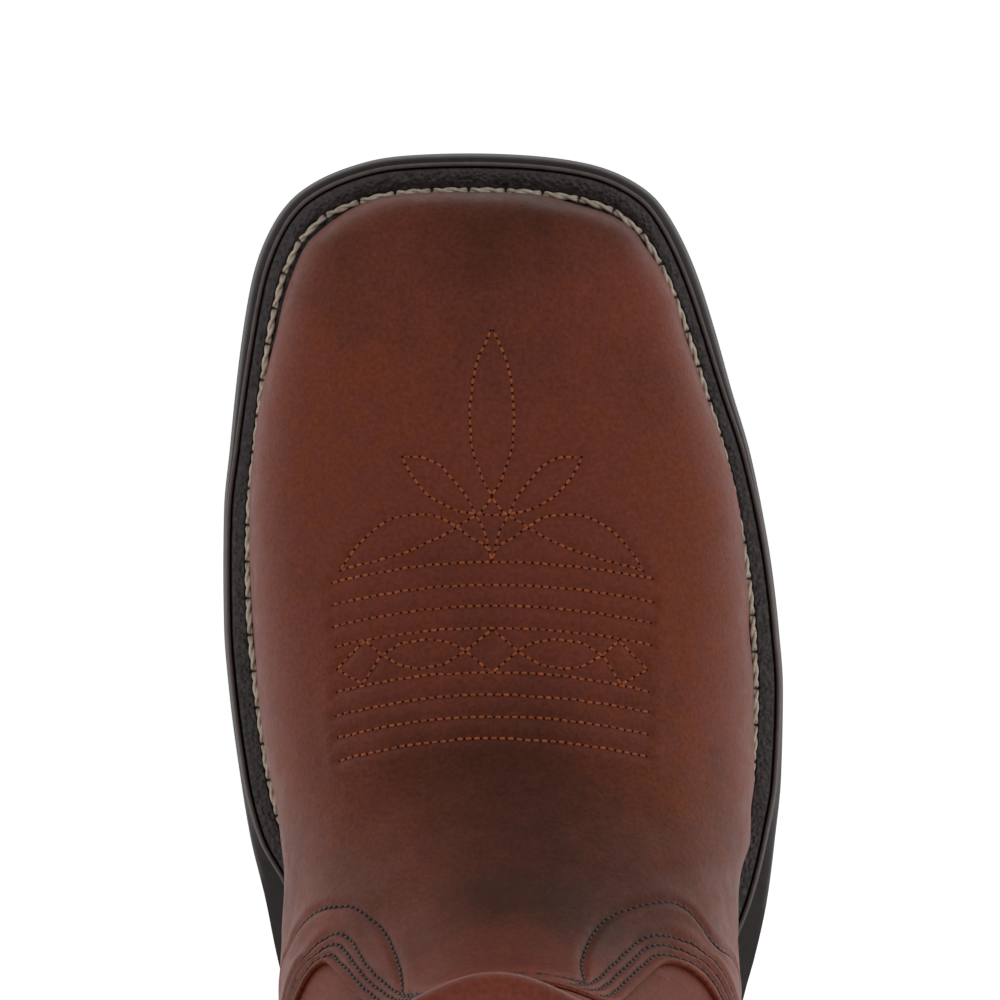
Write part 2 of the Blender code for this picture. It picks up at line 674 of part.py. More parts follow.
def make_vamp():
    """Overlay over toe and instep, with its tongue, scallops and wings."""
    places = overlay_places(VAMP_EDGE, 0, VAMP_COLUMNS, VAMP_HALVES_FROM)
    return add_object("vamp", patch(places, OVERLAY_FIT, OVERLAY_FIT + OVERLAY, OVERLAY_FOOT))


def make_counter():
    """Overlay round the heel, from the feather line up to its curved top edge."""
    places = overlay_places(COUNTER_EDGE, 1, COUNTER_COLUMNS, COUNTER_HALVES_FROM)
    return add_object("counter", patch(places, OVERLAY_FIT, OVERLAY_FIT + OVERLAY, OVERLAY_FOOT))


def make_seam(name, side):
    """Raised side seam of the shaft, a rounded strip from the vamp's wing up to the binding."""
    low, high = [], []
    for v in np.linspace(SEAM_FROM, SEAM_TO, SEAM_ROWS):
        step = np.linalg.norm(on_last(side * (SEAM_U + SEAM_PROBE), v) - on_last(side * SEAM_U, v))
        reach = SEAM_WIDTH / 2 / step * SEAM_PROBE
        low.append([on_last(side * (SEAM_U + reach * a), v, OVERLAY_FIT) for a, _ in SEAM_SECTION])
        high.append(
            [on_last(side * (SEAM_U + reach * a), v, OVERLAY_FIT + SEAM_HEIGHT * b) for a, b in SEAM_SECTION]
        )
    return add_object(name, block(low, high))


def make_binding():
    """Binding folded over the collar, a band of leather outside and inside."""
    rim = last_points[-1]
    out = last_out[-1]
    down = last_points[-2] - rim
    down /= np.linalg.norm(down, axis=1)[:, None]
    outside = (OVERLAY_FIT, OVERLAY_FIT + BINDING_THICKNESS)
    inside = (-WALL - OVERLAY_FIT - BINDING_THICKNESS, -WALL - OVERLAY_FIT)
    section = [
        (BINDING_DEPTH, outside[0]), (BINDING_DEPTH, outside[1]), (0, outside[1]),
        (-FIT - BINDING_THICKNESS, -WALL / 2), (0, inside[0]), (BINDING_DEPTH, inside[0]),
        (BINDING_DEPTH, inside[1]), (-FIT, inside[1]), (-FIT, outside[0]),
    ]
    rings = [rim + down * below + out * lift for below, lift in section]
    return add_object("binding", stack(rings, closed_up=True))


# Sole


def make_outsole():
    """Rubber outsole: flared edge, rim with its bead, the well in which the welt lies, and its lugs."""
    edge = sole_outline()
    rim = inset(edge, rim_step(edge))
    rings = [
        placed(inset(edge, SOLE_CHAMFER), underside),
        placed(edge, lambda t: underside(t) + SOLE_CHAMFER),
        placed(edge, lambda t: seat_height(t) - SIDE_LEDGE * (seat_height(t) - underside(t))),
        placed(rim, seat_height),
        placed(rim, lambda t: seat_height(t) + BEAD_HEIGHT * BEAD_SHOULDER),
        placed(inset(rim, BEAD_WIDTH * BEAD_CROWN[0]), lambda t: seat_height(t) + BEAD_HEIGHT),
        placed(inset(rim, BEAD_WIDTH * BEAD_CROWN[1]), lambda t: seat_height(t) + BEAD_HEIGHT),
        placed(inset(rim, BEAD_WIDTH), seat_height),
    ]
    piece = add_object("outsole", stack(rings))
    boolean(piece, make_lugs(), "UNION")
    return piece


def make_lugs():
    """The forefoot's lugs in slanted rows, edge lugs following the outline, as one set of blocks."""
    mesh = bmesh.new()
    pitch = LUG_LENGTH + LUG_GAP
    rows = int((LUGS_TO - LUGS_FROM) * SOLE_LENGTH / pitch)
    for row in range(rows):
        start = LUGS_FROM * SOLE_LENGTH + row * pitch
        for left, right, slant in LUG_COLUMNS:
            add_lug(mesh, start, left, right, slant)
    return add_object("lugs", mesh)


def add_lug(mesh, start, left, right, slant):
    """One lug between two shares of the sole's width, its top sunk into the outsole."""
    foot, head = [], []
    for t, end in ((start, 1), (start + LUG_LENGTH, -1)):
        for share, side in ((left, 1), (right, -1)):
            t_here = t + slant * LUG_SLANT * (1 if side > 0 else -1)
            along = t_here / SOLE_LENGTH
            medial = float(sole_medial(along)) * BALL_WIDTH - SOLE_CHAMFER
            lateral = float(sole_lateral(along)) * BALL_WIDTH - SOLE_CHAMFER
            x = -lateral + share * (medial + lateral)
            contact = float(underside(t_here)) - LUG_DEPTH
            y = t_here - SOLE_LENGTH / 2
            foot.append(mesh.verts.new((x + side * LUG_TAPER, y + end * LUG_TAPER, contact)))
            head.append(mesh.verts.new((x, y, contact + LUG_DEPTH + LUG_SINK)))
    order = (0, 1, 3, 2)
    mesh.faces.new([foot[i] for i in order])
    mesh.faces.new([head[i] for i in order])
    for i, k in zip(order, order[1:] + order[:1]):
        mesh.faces.new((foot[i], foot[k], head[k], head[i]))


def heel_outline(distance):
    """The heel's outline from its hollow breast to the back, moved inwards."""
    breast = HEEL_BREAST * SOLE_LENGTH
    turns = np.sin(np.linspace(0, np.pi / 2, HEEL_STEPS))
    t = np.concatenate([[breast + BREAST_HOLLOW], breast + turns * (SOLE_LENGTH - breast)])
    medial, lateral = sole_medial(t / SOLE_LENGTH), sole_lateral(t / SOLE_LENGTH)
    return inset(ring_of_pairs(t, medial * BALL_WIDTH, lateral * BALL_WIDTH), distance)


def sole_facets(t):
    """Underside of the outsole as its facets have it."""
    stations = outline_stations() * SOLE_LENGTH
    return np.interp(t, stations, underside(stations))


def make_heel_block():
    """Heel under the seat, tapered towards the floor, its breast hollowed."""
    bottom = TOP_LIFT_THICKNESS + FIT
    rings = [
        placed(heel_outline(HEEL_TAPER), bottom),
        placed(heel_outline(HEEL_TAPER * HEEL_CURVE), (bottom + HEEL_HEIGHT) / 2),
        placed(heel_outline(SOLE_CHAMFER), lambda t: sole_facets(t) - FIT),
    ]
    return add_object("heel_block", stack(rings))


def make_top_lift():
    """Rubber top lift of the heel, with grooves across it, flat on the floor between them."""
    rings = [
        placed(heel_outline(HEEL_TAPER + SOLE_CHAMFER), 0.0),
        placed(heel_outline(HEEL_TAPER), SOLE_CHAMFER),
        placed(heel_outline(HEEL_TAPER), TOP_LIFT_THICKNESS),
    ]
    piece = add_object("top_lift", stack(rings))
    mesh = bmesh.new()
    for share in GROOVES_AT:
        cube = bmesh.ops.create_cube(mesh, size=1)["verts"]
        bmesh.ops.scale(mesh, vec=(BALL_WIDTH, GROOVE_WIDTH, 2 * GROOVE_DEPTH), verts=cube)
        bmesh.ops.translate(mesh, vec=(0, (share - 0.5) * SOLE_LENGTH, 0), verts=cube)
    boolean(piece, add_object("grooves", mesh), "DIFFERENCE")
    return piece


def make_welt():
    """Welt round the whole boot, from under the upper's wall out to the bead."""
    edge = sole_outline()
    outer = inset(edge, rim_step(edge) + BEAD_WIDTH + BEAD_GROOVE)
    inner = feather_outline(WALL)
    rings = [placed(inner, seat_fit), placed(outer, seat_fit), placed(outer, welt_top), placed(inner, welt_top)]
    return add_object("welt", stack(rings, closed_up=True))


def feather_outline(distance):
    """The feather line seen from above, moved inwards, at the outsole's own stations where it can be."""
    half = len(last_points[0]) // 2
    sides = [last_points[0][: half + 1], np.concatenate([last_points[0][half:], last_points[0][:1]])[::-1]]
    front, back = (sides[0][i, 1] + SOLE_LENGTH / 2 for i in (0, -1))
    t = outline_stations() * SOLE_LENGTH
    reach = FEATHER_ENDS * SOLE_LENGTH
    t = t + front * (1 - smoothstep(t / reach))
    t = t - (SOLE_LENGTH - back) * smoothstep((t - SOLE_LENGTH + reach) / reach)
    medial, lateral = (np.interp(t, side[:, 1] + SOLE_LENGTH / 2, side[:, 0]) for side in sides)
    return inset(ring_of_pairs(t, medial, -lateral), distance)


def make_insole():
    """Insole inside the upper's foot, flat between the welt's inner edges."""
    outline = feather_outline(WALL + FIT)
    return add_object("insole", stack([placed(outline, seat_fit), placed(outline, insole_top)]))


def main():
    for thing in list(bpy.data.objects):
        bpy.data.objects.remove(thing)
    make_upper()
    make_vamp()
    make_counter()
    make_seam("seam_medial", 1)
    make_seam("seam_lateral", -1)
    make_binding()
    make_insole()
    make_welt()
    make_outsole()
    make_heel_block()
    make_top_lift()


main()
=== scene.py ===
"""Looks of the western work boot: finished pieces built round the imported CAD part.

Metres, +Z up, toe towards -Y, medial side towards +X, the floor at z = 0. The CAD model gives the sizes.
Each piece here follows the same two forms as the part: the sole's outline and the last.
"""

import logging
import math
from collections.abc import Callable, Sequence
from dataclasses import dataclass
from enum import Enum

import bmesh
import bpy
import numpy as np
from mathutils import Matrix, Vector
from mathutils.bvhtree import BVHTree
from mathutils.kdtree import KDTree


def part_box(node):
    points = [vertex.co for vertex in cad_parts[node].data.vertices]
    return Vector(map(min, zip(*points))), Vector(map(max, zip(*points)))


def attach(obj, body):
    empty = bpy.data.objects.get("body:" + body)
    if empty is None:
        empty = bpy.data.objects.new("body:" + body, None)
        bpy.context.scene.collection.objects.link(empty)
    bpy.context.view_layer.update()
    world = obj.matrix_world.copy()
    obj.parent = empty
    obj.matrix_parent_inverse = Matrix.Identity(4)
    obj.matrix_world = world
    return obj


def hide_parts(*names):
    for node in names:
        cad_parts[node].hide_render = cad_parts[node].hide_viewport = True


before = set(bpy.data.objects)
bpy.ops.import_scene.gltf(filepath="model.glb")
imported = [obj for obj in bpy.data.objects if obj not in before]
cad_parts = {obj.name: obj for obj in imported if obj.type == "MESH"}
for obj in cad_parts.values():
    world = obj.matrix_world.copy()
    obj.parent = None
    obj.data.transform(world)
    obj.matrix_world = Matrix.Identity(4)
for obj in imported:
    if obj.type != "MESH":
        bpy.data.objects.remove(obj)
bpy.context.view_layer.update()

logging.basicConfig(level=logging.INFO, format="%(message)s")
log = logging.getLogger("boot")

MM = 0.001
SHARP_ANGLE = 40
WELD = 1e-6
TINY = 1e-6
TABLE = dict[str, tuple[float, ...]]

# Stations of the outsole seen from above. along: share of the length from the toe. medial, lateral: edge,
# share of the ball's width from the middle line. medial_step, lateral_step: how far the rim at the top
# stands back from the edge at the bottom, share of the ball's width.
OUTLINE = {
    "along": (0.0, 0.0026, 0.0082, 0.0193, 0.030, 0.0467, 0.0794, 0.1206, 0.1618, 0.2026, 0.2438,
              0.285, 0.3261, 0.367, 0.4288, 0.4699, 0.5111, 0.552, 0.5725, 0.6046, 0.6373, 0.67,
              0.7026, 0.7516, 0.817, 0.866, 0.915, 0.9477, 0.9739, 0.9918, 1.0),
    "medial": (0.064, 0.204, 0.268, 0.337, 0.376, 0.410, 0.446, 0.467, 0.481, 0.492, 0.5025,
               0.504, 0.5025, 0.494, 0.473, 0.455, 0.428, 0.405, 0.390, 0.352, 0.325, 0.314,
               0.318, 0.335, 0.343, 0.339, 0.309, 0.263, 0.195, 0.110, 0.0),
    "lateral": (-0.064, 0.076, 0.160, 0.229, 0.266, 0.298, 0.339, 0.3745, 0.405, 0.437, 0.460,
                0.478, 0.490, 0.4975, 0.494, 0.483, 0.4685, 0.444, 0.428, 0.407, 0.386, 0.369,
                0.358, 0.352, 0.347, 0.339, 0.309, 0.263, 0.195, 0.110, 0.0),
    "medial_step": (0.004, 0.004, 0.004, 0.004, 0.004, 0.004, 0.004, 0.004, 0.004, 0.004, 0.004,
                    0.004, 0.004, 0.004, 0.005, 0.014, 0.042, 0.058, 0.060, 0.058, 0.050, 0.040,
                    0.028, 0.014, 0.008, 0.008, 0.008, 0.008, 0.008, 0.008, 0.008),
    "lateral_step": (0.004, 0.004, 0.004, 0.004, 0.004, 0.004, 0.004, 0.004, 0.004, 0.004, 0.004,
                     0.004, 0.004, 0.004, 0.007, 0.014, 0.026, 0.043, 0.052, 0.054, 0.048, 0.038,
                     0.026, 0.014, 0.008, 0.008, 0.008, 0.008, 0.008, 0.008, 0.008),
}

# Stations of the foot of the upper. along: share of the upper's own length, toe to heel. medial, lateral:
# widest point, share of the ball's width. medial_tuck, lateral_tuck: how far the feather line lies inside
# it, share of the ball's width.
FOOT = {
    "along": (0.0, 0.002, 0.0075, 0.0185, 0.030, 0.0375, 0.058, 0.079, 0.100, 0.1215, 0.1425, 0.1635,
              0.1845, 0.206, 0.227, 0.248, 0.269, 0.290, 0.312, 0.333, 0.354, 0.375, 0.396, 0.417,
              0.4385, 0.460, 0.478, 0.497, 0.517, 0.5365, 0.562, 0.620, 0.690, 0.760, 0.830, 0.880,
              0.930, 0.960, 0.982, 0.995, 1.0),
    "medial": (0.061, 0.195, 0.252, 0.305, 0.3415, 0.359, 0.382, 0.3975, 0.407, 0.420, 0.433, 0.4415,
               0.448, 0.454, 0.456, 0.4565, 0.4575, 0.4575, 0.456, 0.454, 0.4525, 0.448, 0.4415, 0.431,
               0.418, 0.409, 0.401, 0.3975, 0.3965, 0.3915, 0.388, 0.368, 0.347, 0.336, 0.332, 0.324,
               0.288, 0.240, 0.173, 0.092, 0.0),
    "lateral": (-0.061, 0.064, 0.119, 0.203, 0.242, 0.2535, 0.285, 0.3075, 0.3195, 0.337, 0.355, 0.3745,
                0.392, 0.4075, 0.4185, 0.4255, 0.432, 0.4395, 0.4415, 0.448, 0.453, 0.4535, 0.4535,
                0.4535, 0.445, 0.4415, 0.4245, 0.416, 0.4125, 0.4075, 0.405, 0.384, 0.358, 0.340,
                0.332, 0.324, 0.288, 0.240, 0.173, 0.092, 0.0),
    "medial_tuck": (0.0, 0.0, 0.004, 0.008, 0.010, 0.010, 0.010, 0.010, 0.010, 0.010, 0.010, 0.010,
                    0.010, 0.010, 0.010, 0.010, 0.010, 0.011, 0.012, 0.013, 0.015, 0.018, 0.024, 0.032,
                    0.042, 0.058, 0.080, 0.105, 0.120, 0.124, 0.128, 0.118, 0.080, 0.034, 0.020, 0.018,
                    0.014, 0.010, 0.004, 0.0, 0.0),
    "lateral_tuck": (0.0, 0.0, 0.004, 0.008, 0.010, 0.010, 0.010, 0.010, 0.010, 0.010, 0.010, 0.010,
                     0.010, 0.010, 0.010, 0.010, 0.010, 0.010, 0.010, 0.010, 0.011, 0.012, 0.014, 0.018,
                     0.022, 0.028, 0.034, 0.042, 0.052, 0.062, 0.074, 0.070, 0.052, 0.034, 0.020, 0.018,
                     0.014, 0.010, 0.004, 0.0, 0.0),
}
# Front of the upper, share of the length, and how high its tuck reaches, share of the way to the throat
UPPER_TOE = 0.0255
TUCK_RISE = 0.30
# From this share of the foot back, its section follows the curve of the back line
HEEL_CLING = 0.6
# Behind the throat the front line runs on this steeply
RUN_ON = 6

# Crown of the foot's section, boxy at the toe and rounder at the instep. along as in FOOT. power:
# exponent of the arch.
CROWN = {"along": (0.0, 0.10, 0.25, 0.40, 0.55, 1.0), "power": (3.1, 2.9, 2.6, 2.35, 2.2, 2.2)}

# Front line in the side view, toe to throat. along: share of the way from toe to throat. rise: share
# of the height from feather line to throat.
RIDGE = {
    "along": (0.0, 0.001, 0.0045, 0.014, 0.035, 0.0605, 0.108, 0.191, 0.287, 0.395, 0.522, 0.650,
              0.764, 0.866, 0.943, 1.0),
    "rise": (0.0, 0.075, 0.122, 0.160, 0.192, 0.212, 0.235, 0.266, 0.304, 0.350, 0.400, 0.461,
             0.546, 0.668, 0.820, 1.0),
}

# Back line in the side view. back: share of the length. rise: share of the height from feather line
# to throat.
HEEL_LINE = {
    "rise": (0.0, 0.12, 0.25, 0.43, 0.68, 1.0),
    "back": (0.9775, 0.9850, 0.9869, 0.9820, 0.9722, 0.9673),
}

# Shaft above the throat. rise: share of the way from throat to collar. back: share of the length.
# depth, half_width: shares of the shaft's depth and width. shift: middle, share of the shaft's width.
SHAFT = {
    "rise": (0.0, 0.2, 0.45, 0.72, 1.0),
    "back": (0.9673, 0.9690, 0.9739, 0.9771, 0.9804),
    "depth": (0.893, 0.903, 0.935, 0.968, 1.0),
    "half_width": (0.4087, 0.4279, 0.4615, 0.4856, 0.5),
    "shift": (-0.009, -0.008, -0.002, 0.010, 0.022),
}
SHAFT_POWER = 2.1
# The foot's section turns into the shaft's between these shares of the throat's height
BLEND_FROM, BLEND_TO = 0.55, 0.94

# Rings of the last. front, back: share of the front and back line, feather line to throat, that each
# ring joins.
RING_ENDS = {"front": (0.0, 0.143, 0.576, 0.786, 1.0), "back": (0.0, 0.07, 0.22, 0.53, 1.0)}
# The rings crowd towards the feather line, their points towards toe and heel, and each ring leans
RING_EASE = 1.35
AROUND_EASE = 0.42
RING_LEAN = 0.6
# The collar dips at front and back, level at its sides
DIP_POWER = 3
# How near the ring's ends the collar's front and back follow the lines of the side view
END_PULL = 6

# The collar's front stands out as a rounded point: half its width and its depth
PEAK_WIDTH, PEAK_DEPTH = 0.014, 0.0042

# Top edge of the vamp: a tongue up the shaft in front, a scallop on each side of the instep, and a wing
# along the waist. around: u of the last from the toe. medial, lateral: v of the edge, share of the
# throat's.
VAMP_EDGE = {
    "around": (0.0, 0.07, 0.13, 0.18, 0.215, 0.25, 0.29, 0.34, 0.40, 0.455, 0.50, 0.545, 0.591),
    "medial": (1.06, 1.055, 1.04, 1.01, 0.975, 0.918, 0.832, 0.811, 0.775, 0.70, 0.58, 0.36, 0.03),
    "lateral": (1.06, 1.055, 1.035, 0.995, 0.935, 0.873, 0.846, 0.823, 0.775, 0.70, 0.58, 0.36, 0.03),
}
# Top edge of the counter, around from the back seam
COUNTER_EDGE = {
    "around": (0.0, 0.08, 0.17, 0.25, 0.31, 0.364),
    "medial": (0.84, 0.82, 0.70, 0.46, 0.22, 0.03),
    "lateral": (0.84, 0.82, 0.70, 0.46, 0.22, 0.03),
}

# Over this share of the length at either end the feather line's stations leave the outsole's
FEATHER_ENDS = 0.15
# A row of lugs: from and to a share of the sole's width, medial side last, and which way each slants
LUG_COLUMNS = ((0.0, 0.19, 1), (0.27, 0.47, -1), (0.53, 0.73, 1), (0.81, 1.0, -1))


class Side(Enum):
    """The two sides of the boot, as the sign of their x."""

    MEDIAL = 1
    LATERAL = -1


class Slot(Enum):
    """The record's material slots."""

    LEATHER = "brown_leather"
    INSOLE = "insole_leather"
    RUBBER = "dark_rubber"


# Curves


def smooth_through(x: Sequence[float], y: Sequence[float]) -> Callable[[np.ndarray], np.ndarray]:
    """A curve through the points that doesn't overshoot them (monotone cubic).

    Args:
        x: places, rising.
        y: values there.

    Returns:
        The curve as a function of x.
    """
    x, y = np.asarray(x, float), np.asarray(y, float)
    step = np.diff(x)
    rise = np.diff(y) / step
    slope = np.zeros(len(x))
    slope[0], slope[-1] = rise[0], rise[-1]
    for i in range(1, len(x) - 1):
        if rise[i - 1] * rise[i] > 0:
            near, far = 2 * step[i] + step[i - 1], step[i] + 2 * step[i - 1]
            slope[i] = (near + far) / (near / rise[i - 1] + far / rise[i])

    def at(value: np.ndarray) -> np.ndarray:
        """The curve's value at a place."""
        value = np.clip(value, x[0], x[-1])
        i = np.clip(np.searchsorted(x, value, side="right") - 1, 0, len(step) - 1)
        s = (value - x[i]) / step[i]
        start = y[i] * (1 + 2 * s) * (1 - s) ** 2 + slope[i] * step[i] * s * (1 - s) ** 2
        end = y[i + 1] * s * s * (3 - 2 * s) + slope[i + 1] * step[i] * s * s * (s - 1)
        return start + end

    return at


def smoothstep(share: np.ndarray) -> np.ndarray:
    """Share from 0 to 1 with soft ends."""
    share = np.clip(share, 0, 1)
    return share * share * (3 - 2 * share)


def bell(distance: np.ndarray, reach: float) -> np.ndarray:
    """1 at no distance, falling off softly over the reach."""
    return np.exp(-((distance / reach) ** 2))


def turn(share: np.ndarray) -> np.ndarray:
    """Angle of a share of a length: round ends become straight lines over it."""
    return np.arccos(1 - 2 * np.clip(share, 0, 1))


def over_length(rows: TABLE, column: str) -> Callable[[np.ndarray], np.ndarray]:
    """A column of a station table as a curve.

    Args:
        rows: the table, with its column "along".
        column: the column's name.

    Returns:
        The column's value as a function of the share along the foot.
    """
    curve = smooth_through(turn(rows["along"]), rows[column])
    return lambda share: curve(turn(share))


def travelled(points: np.ndarray) -> np.ndarray:
    """Length of a line up to each of its points."""
    return np.concatenate([[0], np.cumsum(np.linalg.norm(np.diff(points, axis=0), axis=1))])


def resampled(points: np.ndarray, shares: np.ndarray) -> np.ndarray:
    """Points of a line at shares of its own length.

    Args:
        points: the line's points, a row each.
        shares: shares of its length, 0 to 1.

    Returns:
        The points there, a row each.
    """
    length = travelled(points)
    at = np.asarray(shares) * length[-1]
    return np.stack([np.interp(at, length, column) for column in points.T], axis=-1)


def smooth_line(points: Sequence[Sequence[float]], count: int) -> np.ndarray:
    """A dense smooth line through the points of a profile.

    Args:
        points: the profile's points.
        count: points of the line.

    Returns:
        The line's points, a row each.
    """
    points = np.asarray(points, float)
    length = travelled(points)
    at = np.linspace(0, length[-1], count)
    return np.stack([smooth_through(length, column)(at) for column in points.T], axis=-1)


def inset(outline: np.ndarray, distance: float | np.ndarray) -> np.ndarray:
    """A plan outline moved inwards, square to itself.

    Args:
        outline: its points as (x, t), once round.
        distance: how far, one number or one a point.

    Returns:
        The moved outline.
    """
    along = np.roll(outline, -1, axis=0) - np.roll(outline, 1, axis=0)
    along /= np.linalg.norm(along, axis=1)[:, None]
    inwards = np.stack([-along[:, 1], along[:, 0]], axis=1)
    return outline + inwards * np.reshape(distance, (-1, 1))


def ring_of_pairs(stations: np.ndarray, medial: np.ndarray, lateral: np.ndarray) -> np.ndarray:
    """A closed plan outline from its stations.

    Args:
        stations: distances from the toe.
        medial: the medial edge's x at each.
        lateral: the lateral edge's distance from the middle line at each.

    Returns:
        First point, medial side, last point and the lateral side back, as (x, t).
    """
    middle = (medial - lateral) / 2
    first, last = [(middle[0], stations[0])], [(middle[-1], stations[-1])]
    right = list(zip(medial[1:-1], stations[1:-1]))
    left = list(zip(-lateral[1:-1], stations[1:-1]))
    return np.array(first + right + last + left[::-1])


def closing(ring: np.ndarray, levels: Sequence[float] = (0.6, 0.3, 0.0)) -> list[np.ndarray]:
    """Rings that close one made by ring_of_pairs towards its middle line.

    Args:
        ring: the ring's points in space.
        levels: share of the width that each new ring keeps, the last 0.

    Returns:
        The rings, in order.
    """
    middle = (ring + np.roll(ring[::-1], 1, axis=0)) / 2
    return [middle + (ring - middle) * level for level in levels]


@dataclass
class SoleForm:
    """The sole's outline and heights over t, the distance from the toe."""

    length: float
    ball: float
    steps: int = 200
    toe_spring: float = 0.014
    lug_depth: float = 0.004
    outsole: float = 0.008
    shank: float = 0.005
    heel_height: float = 0.034
    welt: float = 0.0045
    insole: float = 0.0055
    fit: float = 0.0003
    rim_fit: float = 0.0005
    flat_from: float = 0.294
    flat_to: float = 0.441
    seat_from: float = 0.80
    spring_power: float = 1.8

    def __post_init__(self) -> None:
        """Turn the table's columns into curves."""
        self.medial = over_length(OUTLINE, "medial")
        self.lateral = over_length(OUTLINE, "lateral")
        self.medial_step = over_length(OUTLINE, "medial_step")
        self.lateral_step = over_length(OUTLINE, "lateral_step")

    def arch(self, along: np.ndarray) -> np.ndarray:
        """Share of the rise from the ball to the heel seat."""
        return smoothstep((along - self.flat_to) / (self.seat_from - self.flat_to))

    def seat(self, t: np.ndarray) -> np.ndarray:
        """Top of the outsole, on which welt and insole lie."""
        along = t / self.length
        fore = self.lug_depth + self.outsole
        before_flat = np.clip((self.flat_from - along) / self.flat_from, 0, 1)
        spring = self.toe_spring * before_flat**self.spring_power
        return fore + spring + (self.heel_height + self.shank - fore) * self.arch(along)

    def underside(self, t: np.ndarray) -> np.ndarray:
        """Underside of the outsole between its lugs."""
        return self.seat(t) - self.outsole - (self.shank - self.outsole) * self.arch(t / self.length)

    def thickness(self, t: np.ndarray) -> np.ndarray:
        """Thickness of the outsole without its lugs."""
        return self.seat(t) - self.underside(t)

    def rest(self, t: np.ndarray) -> np.ndarray:
        """Underside of welt and insole, a fit above the seat."""
        return self.seat(t) + self.fit

    def welt_top(self, t: np.ndarray) -> np.ndarray:
        """Upper face of the welt."""
        return self.rest(t) + self.welt

    def insole_top(self, t: np.ndarray) -> np.ndarray:
        """Upper face of the insole."""
        return self.rest(t) + self.insole

    def feather(self, t: np.ndarray) -> np.ndarray:
        """Lower rim of the upper."""
        return self.welt_top(t) + self.rim_fit

    def stations(self) -> np.ndarray:
        """Shares of the outsole's length, closer together at toe and heel."""
        return (1 - np.cos(np.pi * np.arange(self.steps + 1) / self.steps)) / 2

    def sides(self, share: np.ndarray) -> tuple[np.ndarray, np.ndarray]:
        """Distance of the medial and the lateral edge from the middle line, at shares of the length."""
        return self.medial(share) * self.ball, self.lateral(share) * self.ball

    def edge(self) -> np.ndarray:
        """The outsole's edge seen from above, as (x, t)."""
        share = self.stations()
        return ring_of_pairs(share * self.length, *self.sides(share))

    def rim_step(self, outline: np.ndarray) -> np.ndarray:
        """How far the rim stands back from the edge, at each point of the outline."""
        share = outline[:, 1] / self.length
        medial = outline[:, 0] > (self.medial(share) - self.lateral(share)) * self.ball / 2
        return np.where(medial, self.medial_step(share), self.lateral_step(share)) * self.ball

    def placed(self, outline: np.ndarray, height: Callable[[np.ndarray], np.ndarray] | float) -> np.ndarray:
        """Plan points at their heights.

        Args:
            outline: points as (x, t).
            height: one height, or heights as a function of t.

        Returns:
            The points in space.
        """
        z = height(outline[:, 1]) if callable(height) else np.full(len(outline), height)
        return np.column_stack([outline[:, 0], outline[:, 1] - self.length / 2, z])


